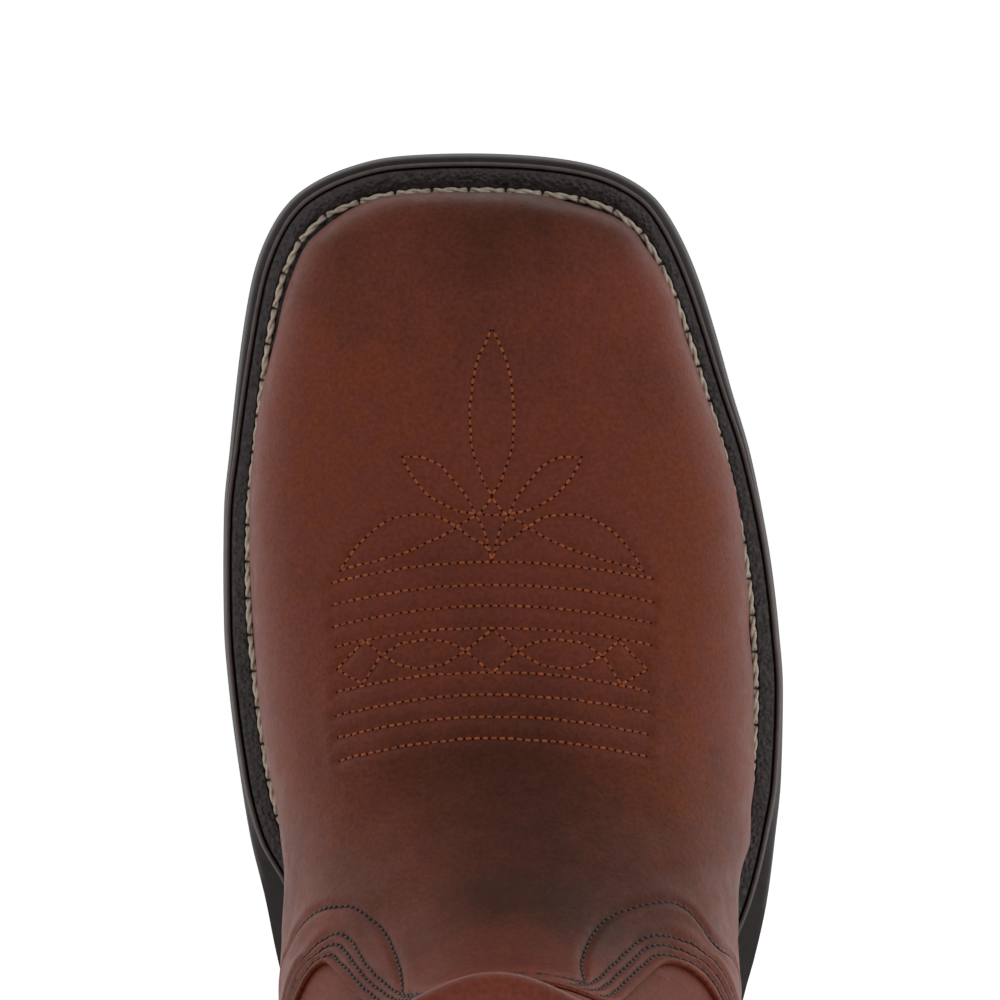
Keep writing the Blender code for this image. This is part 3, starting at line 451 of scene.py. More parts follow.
@dataclass
class Last:
    """The upper's form: a closed ring at each step from the feather line up to the collar."""

    sole: SoleForm
    throat: float = 0.133
    top: float = 0.326
    shaft_width: float = 0.104
    shaft_depth: float = 0.147
    collar_dip: float = 0.016
    throat_ease: float = 0.018
    samples: int = 400
    half: int = 300
    rows: int = 265
    throat_v: float = 15 / 22

    def __post_init__(self) -> None:
        """Build the profile lines and the dense grid of rings."""
        self.foot_medial = over_length(FOOT, "medial")
        self.foot_lateral = over_length(FOOT, "lateral")
        self.tuck_medial = over_length(FOOT, "medial_tuck")
        self.tuck_lateral = over_length(FOOT, "lateral_tuck")
        self.crown = smooth_through(CROWN["along"], CROWN["power"])
        self.toe_t = UPPER_TOE * self.sole.length
        self.heel_t = max(HEEL_LINE["back"]) * self.sole.length
        self.throat_t = SHAFT["back"][0] * self.sole.length - SHAFT["depth"][0] * self.shaft_depth
        front, self.back_line = self.profiles()
        self.front_line = self.eased(front)
        self.throat_index = int(np.argmax(self.front_line[:, 0]))
        self.shaft_half = smooth_through(SHAFT["rise"], SHAFT["half_width"])
        self.shaft_shift = smooth_through(SHAFT["rise"], SHAFT["shift"])
        self.back_of_ring = smooth_through(RING_ENDS["front"], RING_ENDS["back"])
        self.front_throat = self.throat_share(self.front_line)
        self.back_throat = self.throat_share(self.back_line)
        self.points = np.array([self.ring(v) for v in np.linspace(0, 1, self.rows)])
        along = np.roll(self.points, -1, axis=1) - np.roll(self.points, 1, axis=1)
        self.out = np.cross(along, np.gradient(self.points, axis=0))
        self.out[0, :, 2] = 0
        self.out /= np.linalg.norm(self.out, axis=2)[:, :, None]

    def profiles(self) -> tuple[np.ndarray, np.ndarray]:
        """Front and back line of the boot in the side view, each from feather line to collar."""
        length = self.sole.length
        climb = self.throat - self.sole.feather(self.throat_t)
        front = []
        for along, rise in zip(RIDGE["along"], RIDGE["rise"]):
            t = self.toe_t + along * (self.throat_t - self.toe_t)
            front.append((t, self.sole.feather(t) + rise * climb))
        base = self.sole.feather(HEEL_LINE["back"][0] * length)
        back = [
            (share * length, base + rise * (self.throat - base))
            for rise, share in zip(HEEL_LINE["rise"], HEEL_LINE["back"])
        ]
        for rise, share, depth in list(zip(SHAFT["rise"], SHAFT["back"], SHAFT["depth"]))[1:]:
            z = self.throat + rise * (self.top - self.throat)
            front.append((share * length - depth * self.shaft_depth, z))
            back.append((share * length, z))
        return smooth_line(front, self.samples), smooth_line(back, self.samples)

    def eased(self, line: np.ndarray) -> np.ndarray:
        """The front line with its bend at the throat rounded."""
        count = 2 * int(self.throat_ease / travelled(line)[-1] * len(line)) + 1
        padded = np.pad(line, ((count // 2, count // 2), (0, 0)), "reflect", reflect_type="odd")
        window = np.hanning(count + 2)[1:-1]
        window /= window.sum()
        soft = np.stack([np.convolve(column, window, "valid") for column in padded.T], axis=-1)
        weight = smoothstep(line[:, 0] / self.sole.length / self.sole.flat_from - 1)[:, None]
        return line + weight * (soft - line)

    def throat_share(self, line: np.ndarray) -> float:
        """Share of a profile line's length at which it reaches the throat."""
        length = travelled(line)
        return np.interp(self.throat, line[:, 1], length) / length[-1]

    def ridge(self, t: np.ndarray) -> np.ndarray:
        """Height of the front line over t, running on steeply behind the throat."""
        line = self.front_line[: self.throat_index]
        return np.interp(t, line[:, 0], line[:, 1]) + np.maximum(t - line[-1, 0], 0) * RUN_ON

    def half_widths(self, t: np.ndarray, z: np.ndarray) -> tuple[np.ndarray, np.ndarray]:
        """Distance of the two walls from the middle, at points of the side view.

        Args:
            t: distances from the toe.
            z: heights.

        Returns:
            The medial and the lateral distance.
        """
        share = (t - self.toe_t) / (self.heel_t - self.toe_t)
        back = np.interp(z, self.back_line[:, 1], self.back_line[:, 0])
        behind = (self.heel_t - back) / (self.heel_t - self.toe_t)
        share = share + behind * smoothstep((share - HEEL_CLING) / (1 - HEEL_CLING))
        base = self.sole.feather(t)
        up = np.clip((z - base) / np.maximum(self.ridge(t) - base, TINY), 0, 1)
        power = self.crown(share)
        arch = (1 - up**power) ** (1 / power)
        tuck = (1 - np.clip((z - base) / (TUCK_RISE * (self.throat - base)), 0, 1)) ** 2
        medial, lateral = self.foot_medial(share), self.foot_lateral(share)
        middle, half = (medial - lateral) / 2, (medial + lateral) / 2 * arch
        foot_m = (middle + half - self.tuck_medial(share) * tuck) * self.sole.ball
        foot_l = (-middle + half - self.tuck_lateral(share) * tuck) * self.sole.ball
        rise = np.clip((z - self.throat) / (self.top - self.throat), 0, 1)
        ahead = np.interp(z, self.front_line[:, 1], self.front_line[:, 0])
        across = np.clip(2 * (t - ahead) / (back - ahead) - 1, -1, 1)
        oval = (1 - np.abs(across) ** SHAFT_POWER) ** (1 / SHAFT_POWER)
        shaft = self.shaft_half(rise) * self.shaft_width * oval
        shift = self.shaft_shift(rise) * self.shaft_width
        blend = smoothstep((z / self.throat - BLEND_FROM) / (BLEND_TO - BLEND_FROM))
        return foot_m + blend * (shaft + shift - foot_m), foot_l + blend * (shaft - shift - foot_l)

    def ring_ends(self, v: float) -> tuple[np.ndarray, np.ndarray, float]:
        """Front and back point of the ring at v, and how much of the feather line's bend it keeps."""
        if v <= self.throat_v:
            share = (v / self.throat_v) ** RING_EASE
            front = share * self.front_throat
            back = float(self.back_of_ring(share)) * self.back_throat
            bend = max(1 - share / RING_ENDS["front"][2], 0) ** 2
        else:
            share = (v - self.throat_v) / (1 - self.throat_v)
            front = self.front_throat + share * (1 - self.front_throat)
            back = self.back_throat + share * (1 - self.back_throat)
            bend = 0.0
        return resampled(self.front_line, [front])[0], resampled(self.back_line, [back])[0], bend

    def half_ring(self, v: float, side: Side, shares: np.ndarray) -> np.ndarray:
        """One side of a ring, from its front point to its back point.

        Args:
            v: the ring, 0 at the feather line, 1 at the collar.
            side: which side.
            shares: shares of its length at which its points lie.

        Returns:
            The points.
        """
        (t0, z0), (t1, z1), bend = self.ring_ends(v)
        q = np.sin(np.linspace(0, np.pi / 2, self.samples)) ** 2
        q = q ** (1 + RING_LEAN * (1 - q))
        t = t0 + q * (t1 - t0)
        z = z0 + q * (z1 - z0)
        feather = self.sole.feather
        z = z + (feather(t) - feather(t0) - q * (feather(t1) - feather(t0))) * bend
        dip = smoothstep((v - self.throat_v) / (1 - self.throat_v)) ** 2
        z = z - self.collar_dip * dip * np.abs(np.cos(np.pi * q)) ** DIP_POWER
        ahead = np.interp(z[0], self.front_line[:, 1], self.front_line[:, 0])
        behind = np.interp(z[-1], self.back_line[:, 1], self.back_line[:, 0])
        t = t + (ahead - t0) * dip * (1 - q) ** END_PULL + (behind - t1) * dip * q**END_PULL
        medial, lateral = self.half_widths(t, z)
        middle = (medial - lateral)[[0, -1]] / 2
        x = medial if side is Side.MEDIAL else -lateral
        x[0], x[-1] = middle
        beside = 1 - bell(x - middle[0], PEAK_WIDTH)
        t = t + PEAK_DEPTH * dip * beside * (1 - smoothstep(2 * q))
        return resampled(np.column_stack([x, t - self.sole.length / 2, z]), shares)

    def ring(self, v: float) -> np.ndarray:
        """A closed ring, from the front over the medial side to the back and round."""
        a = np.linspace(0, 1, self.half + 1)
        shares = a - AROUND_EASE * np.sin(2 * np.pi * a) / (2 * np.pi)
        medial = self.half_ring(v, Side.MEDIAL, shares)
        lateral = self.half_ring(v, Side.LATERAL, shares)
        return np.concatenate([medial, lateral[-2:0:-1]])

    def point(self, u: np.ndarray, v: np.ndarray, lift: float | np.ndarray = 0.0) -> np.ndarray:
        """Points on the upper.

        Args:
            u: 0 at the toe, 1 at the medial heel, -1 at the lateral.
            v: 0 at the feather line, 1 at the collar.
            lift: how far they lie outside the last.

        Returns:
            The points, in the shape of u and v, with x, y and z last.
        """
        u, v = np.broadcast_arrays(u, v)
        rows, columns = self.points.shape[:2]
        j = np.clip(v, 0, 1) * (rows - 1)
        i = (u * self.half) % columns
        j0, i0 = np.minimum(j.astype(int), rows - 2), i.astype(int) % columns
        i1 = (i0 + 1) % columns
        a, b = (i - i.astype(int))[..., None], (j - j0)[..., None]

        def mixed(grid: np.ndarray) -> np.ndarray:
            """The grid's value between its four nearest points."""
            low = grid[j0, i0] * (1 - a) + grid[j0, i1] * a
            high = grid[j0 + 1, i0] * (1 - a) + grid[j0 + 1, i1] * a
            return low * (1 - b) + high * b

        out = mixed(self.out)
        out /= np.linalg.norm(out, axis=-1, keepdims=True)
        return mixed(self.points) + out * np.broadcast_to(lift, u.shape)[..., None]

    def outwards(self, u: np.ndarray, v: np.ndarray) -> np.ndarray:
        """Directions out of the upper at its places u and v."""
        return self.point(u, v, 1.0) - self.point(u, v)

    def feather_outline(self, distance: float) -> np.ndarray:
        """The feather line seen from above, moved inwards, as (x, t) at the sole's stations.

        Args:
            distance: how far inwards.

        Returns:
            The outline.
        """
        length, half = self.sole.length, self.half
        first = self.points[0]
        sides = [first[: half + 1], np.concatenate([first[half:], first[:1]])[::-1]]
        front, back = (sides[0][i, 1] + length / 2 for i in (0, -1))
        t = self.sole.stations() * length
        reach = FEATHER_ENDS * length
        t = t + front * (1 - smoothstep(t / reach))
        t = t - (length - back) * smoothstep((t - length + reach) / reach)
        medial, lateral = (np.interp(t, side[:, 1] + length / 2, side[:, 0]) for side in sides)
        return inset(ring_of_pairs(t, medial, -lateral), distance)


# Meshes


def sheet(
    name: str,
    points: np.ndarray,
    attributes: dict[str, np.ndarray] | None = None,
    edge_rows: int = 0,
    weld: bool = False,
) -> bpy.types.Object:
    """A grid of points as one smooth surface.

    Args:
        name: the piece's name.
        points: rows of points, the last axis x, y and z.
        attributes: values at the points by name, in the grid's shape.
        edge_rows: rows of faces at the end that take the second material.
        weld: join points that coincide, as where the surface closes on itself.

    Returns:
        The new object, facing outwards.
    """
    rows, columns = points.shape[:2]
    mesh = bmesh.new()
    bmesh.ops.create_grid(mesh, x_segments=columns - 1, y_segments=rows - 1, size=1)
    data = bpy.data.meshes.new(name)
    mesh.to_mesh(data)
    flat = np.empty(len(data.vertices) * 3)
    data.vertices.foreach_get("co", flat)
    i = np.rint((flat[0::3] + 1) / 2 * (columns - 1)).astype(int)
    j = np.rint((flat[1::3] + 1) / 2 * (rows - 1)).astype(int)
    data.vertices.foreach_set("co", points[j, i].astype(np.float32).ravel())
    for key, values in (attributes or {}).items():
        layer = data.attributes.new(key, "FLOAT", "POINT")
        layer.data.foreach_set("value", values[j, i].astype(np.float32))
    if edge_rows:
        corners = np.empty(len(data.loops), np.int32)
        data.loops.foreach_get("vertex_index", corners)
        lowest = j[corners].reshape(-1, 4).min(axis=1)
        data.polygons.foreach_set("material_index", (lowest >= rows - 1 - edge_rows).astype(np.int32))
    mesh.clear()
    mesh.from_mesh(data)
    if weld:
        bmesh.ops.remove_doubles(mesh, verts=mesh.verts, dist=WELD)
    return finished(name, mesh, data)


def linked(name: str, data: bpy.types.ID) -> bpy.types.Object:
    """A new object in the scene that holds the data."""
    piece = bpy.data.objects.new(name, data)
    bpy.context.scene.collection.objects.link(piece)
    return piece


def finished(name: str, mesh: bmesh.types.BMesh, data: bpy.types.Mesh | None = None) -> bpy.types.Object:
    """A mesh as an object in the scene, its faces outwards and its corners sharp.

    Args:
        name: the piece's name.
        mesh: the mesh, freed here.
        data: mesh data to write it to, or None for new data.

    Returns:
        The object.
    """
    bmesh.ops.recalc_face_normals(mesh, faces=mesh.faces)
    data = data or bpy.data.meshes.new(name)
    mesh.to_mesh(data)
    mesh.free()
    data.shade_smooth()
    data.set_sharp_from_angle(angle=math.radians(SHARP_ANGLE))
    return linked(name, data)


def loops_surface(name: str, rings: Sequence[np.ndarray]) -> bpy.types.Object:
    """A surface over closed rings of the same count, welded where it meets itself.

    Args:
        name: the piece's name.
        rings: the rings in order.

    Returns:
        The object.
    """
    points = np.array([np.vstack([ring, ring[:1]]) for ring in rings])
    return sheet(name, points, weld=True)


def joined_copies(name: str, template: bmesh.types.BMesh, frames: np.ndarray) -> bpy.types.Object:
    """Copies of one small shape as a single mesh.

    Args:
        name: the piece's name.
        template: the shape about its origin, freed here.
        frames: for each copy its origin and its x, y and z axis, shape (count, 4, 3).

    Returns:
        The object.
    """
    corners = np.array([vertex.co[:] for vertex in template.verts])
    faces = [[vertex.index for vertex in face.verts] for face in template.faces]
    template.free()
    places = frames[:, None, 0] + np.einsum("vk,nkc->nvc", corners, frames[:, 1:])
    data = bpy.data.meshes.new(name)
    steps = np.arange(len(frames)) * len(corners)
    copies = [[k + step for k in face] for step in steps for face in faces]
    data.from_pydata(places.reshape(-1, 3), [], copies)
    data.shade_smooth()
    return linked(name, data)


def surface_tree(piece: bpy.types.Object) -> BVHTree:
    """The piece's faces, for finding the nearest place on them."""
    places = [vertex.co for vertex in piece.data.vertices]
    return BVHTree.FromPolygons(places, [face.vertices[:] for face in piece.data.polygons])


def dropped(tree: BVHTree, points: np.ndarray) -> tuple[np.ndarray, np.ndarray]:
    """Points moved to the nearest place on a surface.

    Args:
        tree: the surface.
        points: the points, a row each.

    Returns:
        The places and the surface's normals there.
    """
    found = [tree.find_nearest(Vector(point)) for point in points]
    return np.array([place[:] for place, *_ in found]), np.array([normal[:] for _, normal, *_ in found])


def spaced(points: np.ndarray, pitch: float) -> np.ndarray:
    """A line's points at one even spacing close to the pitch.

    Args:
        points: the line.
        pitch: wished distance between points.

    Returns:
        The new points.
    """
    count = max(int(round(travelled(points)[-1] / pitch)), 1)
    return resampled(points, np.linspace(0, 1, count + 1))


def dressed(
    piece: bpy.types.Object, slot: Slot, finishes: Sequence[bpy.types.Material], *replaced: str
) -> bpy.types.Object:
    """Give a piece its finishes and its body, and hide the CAD nodes that it stands for.

    Args:
        piece: the piece.
        slot: the record's material slot it belongs to; not used.
        finishes: its materials in order.
        replaced: names of the CAD nodes.

    Returns:
        The piece.
    """
    for finish in finishes:
        piece.data.materials.append(finish)
    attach(piece, "root")
    if replaced:
        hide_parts(*replaced)
    triangles = sum(len(face.vertices) - 2 for face in piece.data.polygons)
    log.info("%s: %d triangles", piece.name, triangles)
    return piece


# Finishes

# Sockets of a Mix node that mixes colours
MIX_FACTOR, MIX_FIRST, MIX_SECOND, MIX_RESULT = 0, 6, 7, 2


def linear(colour: str) -> tuple[float, float, float, float]:
    """An sRGB hex colour as linear RGBA."""
    shares = [int(colour[k : k + 2], 16) / 255 for k in (1, 3, 5)]
    return (*[c / 12.92 if c <= 0.04045 else ((c + 0.055) / 1.055) ** 2.4 for c in shares], 1.0)


def per_metre(size_mm: float) -> float:
    """Scale of a texture whose features are this many millimetres apart."""
    return 1000 / size_mm


def add_node(
    tree: bpy.types.NodeTree,
    kind: str,
    inputs: dict[str | int, object] | None = None,
    links: dict[str | int, bpy.types.NodeSocket] | None = None,
    **settings: object,
) -> bpy.types.Node:
    """A node with its settings and links.

    Args:
        tree: the material's node tree.
        kind: the node's type.
        inputs: values by socket.
        links: sockets of other nodes by this node's socket.
        settings: the node's own properties.

    Returns:
        The node.
    """
    node = tree.nodes.new(kind)
    for key, value in settings.items():
        setattr(node, key, value)
    for key, value in (inputs or {}).items():
        node.inputs[key].default_value = value
    for key, socket in (links or {}).items():
        tree.links.new(socket, node.inputs[key])
    return node


def started(name: str) -> tuple[bpy.types.Material, bpy.types.Node, bpy.types.NodeSocket]:
    """A new material.

    Args:
        name: its name.

    Returns:
        The material, its shader and the socket of Object coordinates.
    """
    material = bpy.data.materials.new(name)
    material.use_nodes = True
    shader = material.node_tree.nodes["Principled BSDF"]
    place = add_node(material.node_tree, "ShaderNodeTexCoord").outputs["Object"]
    return material, shader, place


@dataclass(frozen=True)
class OiledLeather:
    """Full-grain cowhide, oil-tanned and burnished by hand: mottled red-brown, dark where it was burnished
    and with painted shade on the instep below the shaft.

    The eye sees soft clouds of dark and orange brown, a fine grain and a satin sheen at the sides.
    """

    name: str = "oiled_full_grain_leather"
    colour: str = "#733a2e"
    dark: str = "#41261d"
    warm: str = "#783c22"
    sheen: str = "#e8c4ad"
    cloud_mm: float = 22
    streak_mm: float = 5
    grain_mm: float = 0.9
    relief_mm: float = 0.06
    # Wrinkles are this many times wider and deeper than the grain
    wrinkle: float = 2.5
    wrinkle_depth: float = 3
    cloud_reach: float = 0.75
    streak_reach: float = 1.3
    roughness: float = 0.5
    roughness_spread: tuple[float, float] = (-0.06, 0.08)
    fleck_spread: tuple[float, float] = (0.82, 1.18)
    specular: float = 0.15

    def material(self) -> bpy.types.Material:
        """The leather's nodes."""
        material, shader, place = started(self.name)
        tree = material.node_tree
        cloud = add_node(
            tree, "ShaderNodeTexNoise", {"Scale": per_metre(self.cloud_mm), "Detail": 6, "Roughness": 0.62},
            {"Vector": place},
        )
        streak = add_node(
            tree, "ShaderNodeTexNoise",
            {"Scale": per_metre(self.streak_mm), "Detail": 5, "Roughness": 0.6, "Distortion": 0.6},
            {"Vector": place},
        )
        # The first attribute darkens: burnished leather at the toe, painted shade on the instep below the
        # shaft
        rubbed_and_shade = add_node(tree, "ShaderNodeAttribute", attribute_name="rubbed_and_shade")
        sunny = add_node(tree, "ShaderNodeAttribute", attribute_name="sunny")
        darker = self.patch(tree, rubbed_and_shade, cloud, self.cloud_reach)
        warmer = self.patch(tree, sunny, streak, self.streak_reach)
        base = add_node(
            tree, "ShaderNodeMix", {MIX_FIRST: linear(self.colour), MIX_SECOND: linear(self.warm)},
            {MIX_FACTOR: warmer}, data_type="RGBA",
        )
        toned = add_node(
            tree, "ShaderNodeMix", {MIX_SECOND: linear(self.dark)},
            {MIX_FACTOR: darker, MIX_FIRST: base.outputs[MIX_RESULT]}, data_type="RGBA",
        )
        fleck = add_node(
            tree, "ShaderNodeTexNoise", {"Scale": per_metre(self.grain_mm), "Detail": 3}, {"Vector": place}
        )
        faint, bright = self.fleck_spread
        shade = add_node(
            tree, "ShaderNodeMapRange", {"From Min": 0.3, "From Max": 0.7, "To Min": faint, "To Max": bright},
            {"Value": fleck.outputs["Fac"]},
        )
        colour = add_node(
            tree, "ShaderNodeHueSaturation", None,
            {"Value": shade.outputs[0], "Color": toned.outputs[MIX_RESULT]},
        )
        tree.links.new(colour.outputs["Color"], shader.inputs["Base Color"])
        smooth, rough = (self.roughness + spread for spread in self.roughness_spread)
        gloss = add_node(
            tree, "ShaderNodeMapRange", {"From Min": 0.3, "From Max": 0.7, "To Min": smooth, "To Max": rough},
            {"Value": streak.outputs["Fac"]},
        )
        tree.links.new(gloss.outputs[0], shader.inputs["Roughness"])
        shader.inputs["Specular IOR Level"].default_value = self.specular
        shader.inputs["Specular Tint"].default_value = linear(self.sheen)
        self.grain(tree, shader, place)
        return material

    def patch(
        self, tree: bpy.types.NodeTree, amount: bpy.types.Node, noise: bpy.types.Node, reach: float
    ) -> bpy.types.NodeSocket:
        """A given amount broken up by noise.

        Args:
            tree: the node tree.
            amount: the attribute's node.
            noise: the noise's node.
            reach: how far the noise moves the amount.

        Returns:
            The factor's socket.
        """
        shift = add_node(
            tree, "ShaderNodeMapRange",
            {"From Min": 0.25, "From Max": 0.75, "To Min": -reach / 2, "To Max": reach / 2},
            {"Value": noise.outputs["Fac"]}, clamp=False,
        )
        total = add_node(
            tree, "ShaderNodeMath", None, {0: amount.outputs["Fac"], 1: shift.outputs[0]}, operation="ADD",
            use_clamp=True,
        )
        return total.outputs[0]

    def grain(self, tree: bpy.types.NodeTree, shader: bpy.types.Node, place: bpy.types.NodeSocket) -> None:
        """Fine creased grain by bump.

        Args:
            tree: the node tree.
            shader: the shader's node.
            place: the coordinates' socket.
        """
        cell = add_node(
            tree, "ShaderNodeTexVoronoi", {"Scale": per_metre(self.grain_mm), "Randomness": 1.0},
            {"Vector": place}, feature="F1",
        )
        wrinkle = add_node(
            tree, "ShaderNodeTexNoise",
            {"Scale": per_metre(self.grain_mm * self.wrinkle), "Detail": 6, "Roughness": 0.65},
            {"Vector": place},
        )
        coarse = add_node(
            tree, "ShaderNodeBump", {"Strength": 0.5, "Distance": self.relief_mm * self.wrinkle_depth * MM},
            {"Height": wrinkle.outputs["Fac"]},
        )
        fine = add_node(
            tree, "ShaderNodeBump", {"Strength": 0.5, "Distance": self.relief_mm * MM},
            {"Height": cell.outputs["Distance"], "Normal": coarse.outputs[0]},
        )
        tree.links.new(fine.outputs[0], shader.inputs["Normal"])


@dataclass(frozen=True)
class Grained:
    """A finish of one material whose colour and relief follow a noise of one size.

    It serves the plainer ones: each instance below says what it is and what the eye sees.
    """

    name: str
    colour: str
    other: str
    spot_mm: float
    relief_mm: float
    roughness: float
    specular: float = 0.5
    cells: bool = False
    coat: float = 0.0
    # The clouds are this many times larger than the spots
    cloud: float = 1.6

    def material(self) -> bpy.types.Material:
        """The finish's nodes."""
        material, shader, place = started(self.name)
        tree = material.node_tree
        noise = add_node(
            tree, "ShaderNodeTexNoise",
            {"Scale": per_metre(self.spot_mm * self.cloud), "Detail": 5, "Roughness": 0.6}, {"Vector": place},
        )
        share = add_node(
            tree, "ShaderNodeMapRange", {"From Min": 0.35, "From Max": 0.65}, {"Value": noise.outputs["Fac"]}
        )
        colour = add_node(
            tree, "ShaderNodeMix", {MIX_FIRST: linear(self.colour), MIX_SECOND: linear(self.other)},
            {MIX_FACTOR: share.outputs[0]}, data_type="RGBA",
        )
        tree.links.new(colour.outputs[MIX_RESULT], shader.inputs["Base Color"])
        height = noise.outputs["Fac"]
        if self.cells:
            cell = add_node(
                tree, "ShaderNodeTexVoronoi", {"Scale": per_metre(self.spot_mm), "Smoothness": 0.6},
                {"Vector": place}, feature="SMOOTH_F1",
            )
            joined = add_node(
                tree, "ShaderNodeMath", {1: 0.5}, {0: height, 2: cell.outputs["Distance"]},
                operation="MULTIPLY_ADD",
            )
            height = joined.outputs[0]
        bump = add_node(
            tree, "ShaderNodeBump", {"Strength": 0.7, "Distance": self.relief_mm * MM}, {"Height": height}
        )
        tree.links.new(bump.outputs[0], shader.inputs["Normal"])
        shader.inputs["Roughness"].default_value = self.roughness
        shader.inputs["Specular IOR Level"].default_value = self.specular
        shader.inputs["Coat Weight"].default_value = self.coat
        return material


# Raw edge where the hide was cut: orange fibre, matt
CUT_EDGE = Grained("cut_leather_edge", "#8a3f22", "#5a2618", 0.5, 0.08, 0.8, 0.2)
# Smooth side of thin hide lining the shaft, dyed red brown
LINING = Grained("smooth_lining_leather", "#6b3024", "#542419", 6, 0.03, 0.5, 0.4)
# Vegetable-tanned hide, pressed smooth: pale tan, faint clouds
INSOLE_LEATHER = Grained("pressed_insole_leather", "#b98a5c", "#a3744a", 9, 0.03, 0.6, 0.35)
# Black hide embossed with pebbles: small silvery glints over near black
WELT_LEATHER = Grained("pebble_embossed_welt", "#241d1c", "#41383a", 0.9, 0.5, 0.45, 0.5, cells=True)
# Moulded nitrile rubber: near black, satin, a dusty bloom
RUBBER = Grained("moulded_rubber", "#241d1d", "#2e2625", 1.4, 0.04, 0.5, 0.3)
# The same rubber on the rim's bead, painted pale: a painted highlight along its rounded edge
RIM_HIGHLIGHT_RUBBER = Grained("rim_painted_highlight_rubber", "#5a504d", "#665b58", 1.4, 0.02, 0.45, 0.3)
# Waxed ecru cord of the welt, laid in two plies
CORD = Grained("waxed_ecru_cord", "#ded2c0", "#b8a995", 0.7, 0.08, 0.65, 0.3)
# Bonded nylon thread of the toe ornament: bright orange brown beads
ORANGE_THREAD = Grained("bonded_orange_thread", "#b65c2a", "#7f3b19", 1.1, 0.05, 0.5, 0.4)
# Bonded nylon thread of the seams: dark brown
BROWN_THREAD = Grained("bonded_brown_thread", "#301a15", "#22110d", 1.5, 0.05, 0.5, 0.4)
# Painted shade of the needle holes: dark blobs where no light gets out
HOLE_SHADE = Grained("needle_hole_shade", "#32160e", "#1f0d08", 0.5, 0.02, 0.9, 0.1)


# Tables of the looks, in millimetres on the boot unless they say otherwise

# Middle line of the toe ornament
ORNAMENT_X = 2.7
# Half rows of the ornament as (x, t); each is mirrored about its middle line
PETAL_ROWS = (
    ((3.0, 37.8), (5.6, 43.9), (6.6, 48.1), (7.2, 54.3), (7.0, 60.6), (6.2, 63.8), (5.3, 66.5), (4.1, 69.2),
     (2.7, 71.4)),
    ((21.0, 63.6), (18.2, 63.6), (13.9, 64.9), (10.8, 68.1), (8.2, 71.4), (7.0, 73.5), (6.0, 75.5)),
    ((21.0, 63.6), (20.3, 65.5), (18.2, 68.8), (14.8, 72.2), (12.7, 73.3), (10.3, 74.5), (6.8, 75.2),
     (2.7, 75.5)),
    ((6.0, 75.6), (4.9, 77.4), (4.1, 79.4), (3.5, 81.7), (2.7, 84.7)),
    ((33.8, 86.9), (31.5, 83.3), (29.5, 81.0), (26.0, 77.8), (21.7, 75.8), (18.2, 75.4), (15.0, 75.6),
     (12.7, 76.3), (10.3, 77.7), (7.2, 80.0), (3.7, 82.1), (2.7, 84.5)),
    ((33.8, 86.9), (30.1, 85.8), (25.9, 84.7), (21.6, 83.5), (17.8, 82.0), (13.9, 80.2), (10.3, 78.3),
     (8.4, 76.9), (6.0, 75.7), (3.7, 73.4), (2.7, 71.9)),
)
# Wavy half rows between two of the arcs, with their corners
LATTICE_ROWS = (
    ((34.4, 107.0), (28.6, 101.0), (25.3, 104.0), (21.0, 106.2), (17.3, 106.8), (12.5, 105.8), (8.0, 103.1),
     (3.0, 98.9)),
    ((34.4, 107.0), (29.0, 109.9), (25.3, 104.0), (21.0, 101.5), (15.3, 100.7), (11.2, 101.4), (8.0, 103.1),
     (2.8, 107.3)),
)
# Arcs across the instep: x and t of the left end, t in the middle, x and t of the right end
ARCS = (
    (35.6, 89.4, 85.1, -30.2, 88.6), (35.4, 93.9, 89.7, -30.4, 93.3),
    (35.3, 98.4, 94.0, -29.9, 97.5), (34.7, 102.4, 98.4, -29.9, 101.9),
    (34.4, 111.6, 107.3, -29.3, 111.4), (34.6, 116.4, 111.9, -29.3, 115.5),
    (34.2, 120.8, 116.2, -29.0, 119.9), (33.8, 125.4, 120.6, -28.7, 124.4),
)
# Outer row below each scallop as (u, v of the throat's), from the waist to its corner beside the tongue
OUTER_ROW = {
    Side.MEDIAL: (
        (0.54, 0.12), (0.51, 0.33), (0.475, 0.49), (0.430, 0.592), (0.373, 0.667), (0.330, 0.715),
        (0.295, 0.752), (0.260, 0.790), (0.240, 0.812), (0.223, 0.838), (0.203, 0.869), (0.193, 0.906),
        (0.188, 0.935), (0.190, 0.966),
    ),
    Side.LATERAL: (
        (0.54, 0.12), (0.51, 0.33), (0.475, 0.49), (0.430, 0.600), (0.373, 0.690), (0.330, 0.748),
        (0.302, 0.772), (0.275, 0.783), (0.247, 0.799), (0.220, 0.821), (0.185, 0.854), (0.155, 0.884),
        (0.138, 0.915), (0.128, 0.952), (0.135, 0.984),
    ),
}
# Row across the tongue between the two corners as (u, v of the throat's). The second row lies this far
# above it and is this much narrower.
TONGUE_ROW = (
    (0.190, 0.966), (0.175, 0.983), (0.138, 1.003), (0.06, 1.012), (0.0, 1.010), (-0.078, 0.999),
    (-0.135, 0.984),
)
TONGUE_STEP = 0.008
TONGUE_NARROWED = 0.94
# Distances of the rows from the scallop's edge, and beside the tongue, where they close up: up to which u,
# and how wide the change is. On the lateral side all of them lie further apart.
SCALLOP_ROWS = (2.3, 5.0, 7.8)
SCALLOP_CLOSED = (1.9, 3.6, 5.2)
SCALLOP_CLOSED_U, SCALLOP_OPENING = 0.24, 0.08
LATERAL_SPREAD = 1.25
# Distances of the double row from the counter's edge
COUNTER_ROWS = (2.5, 5.0)

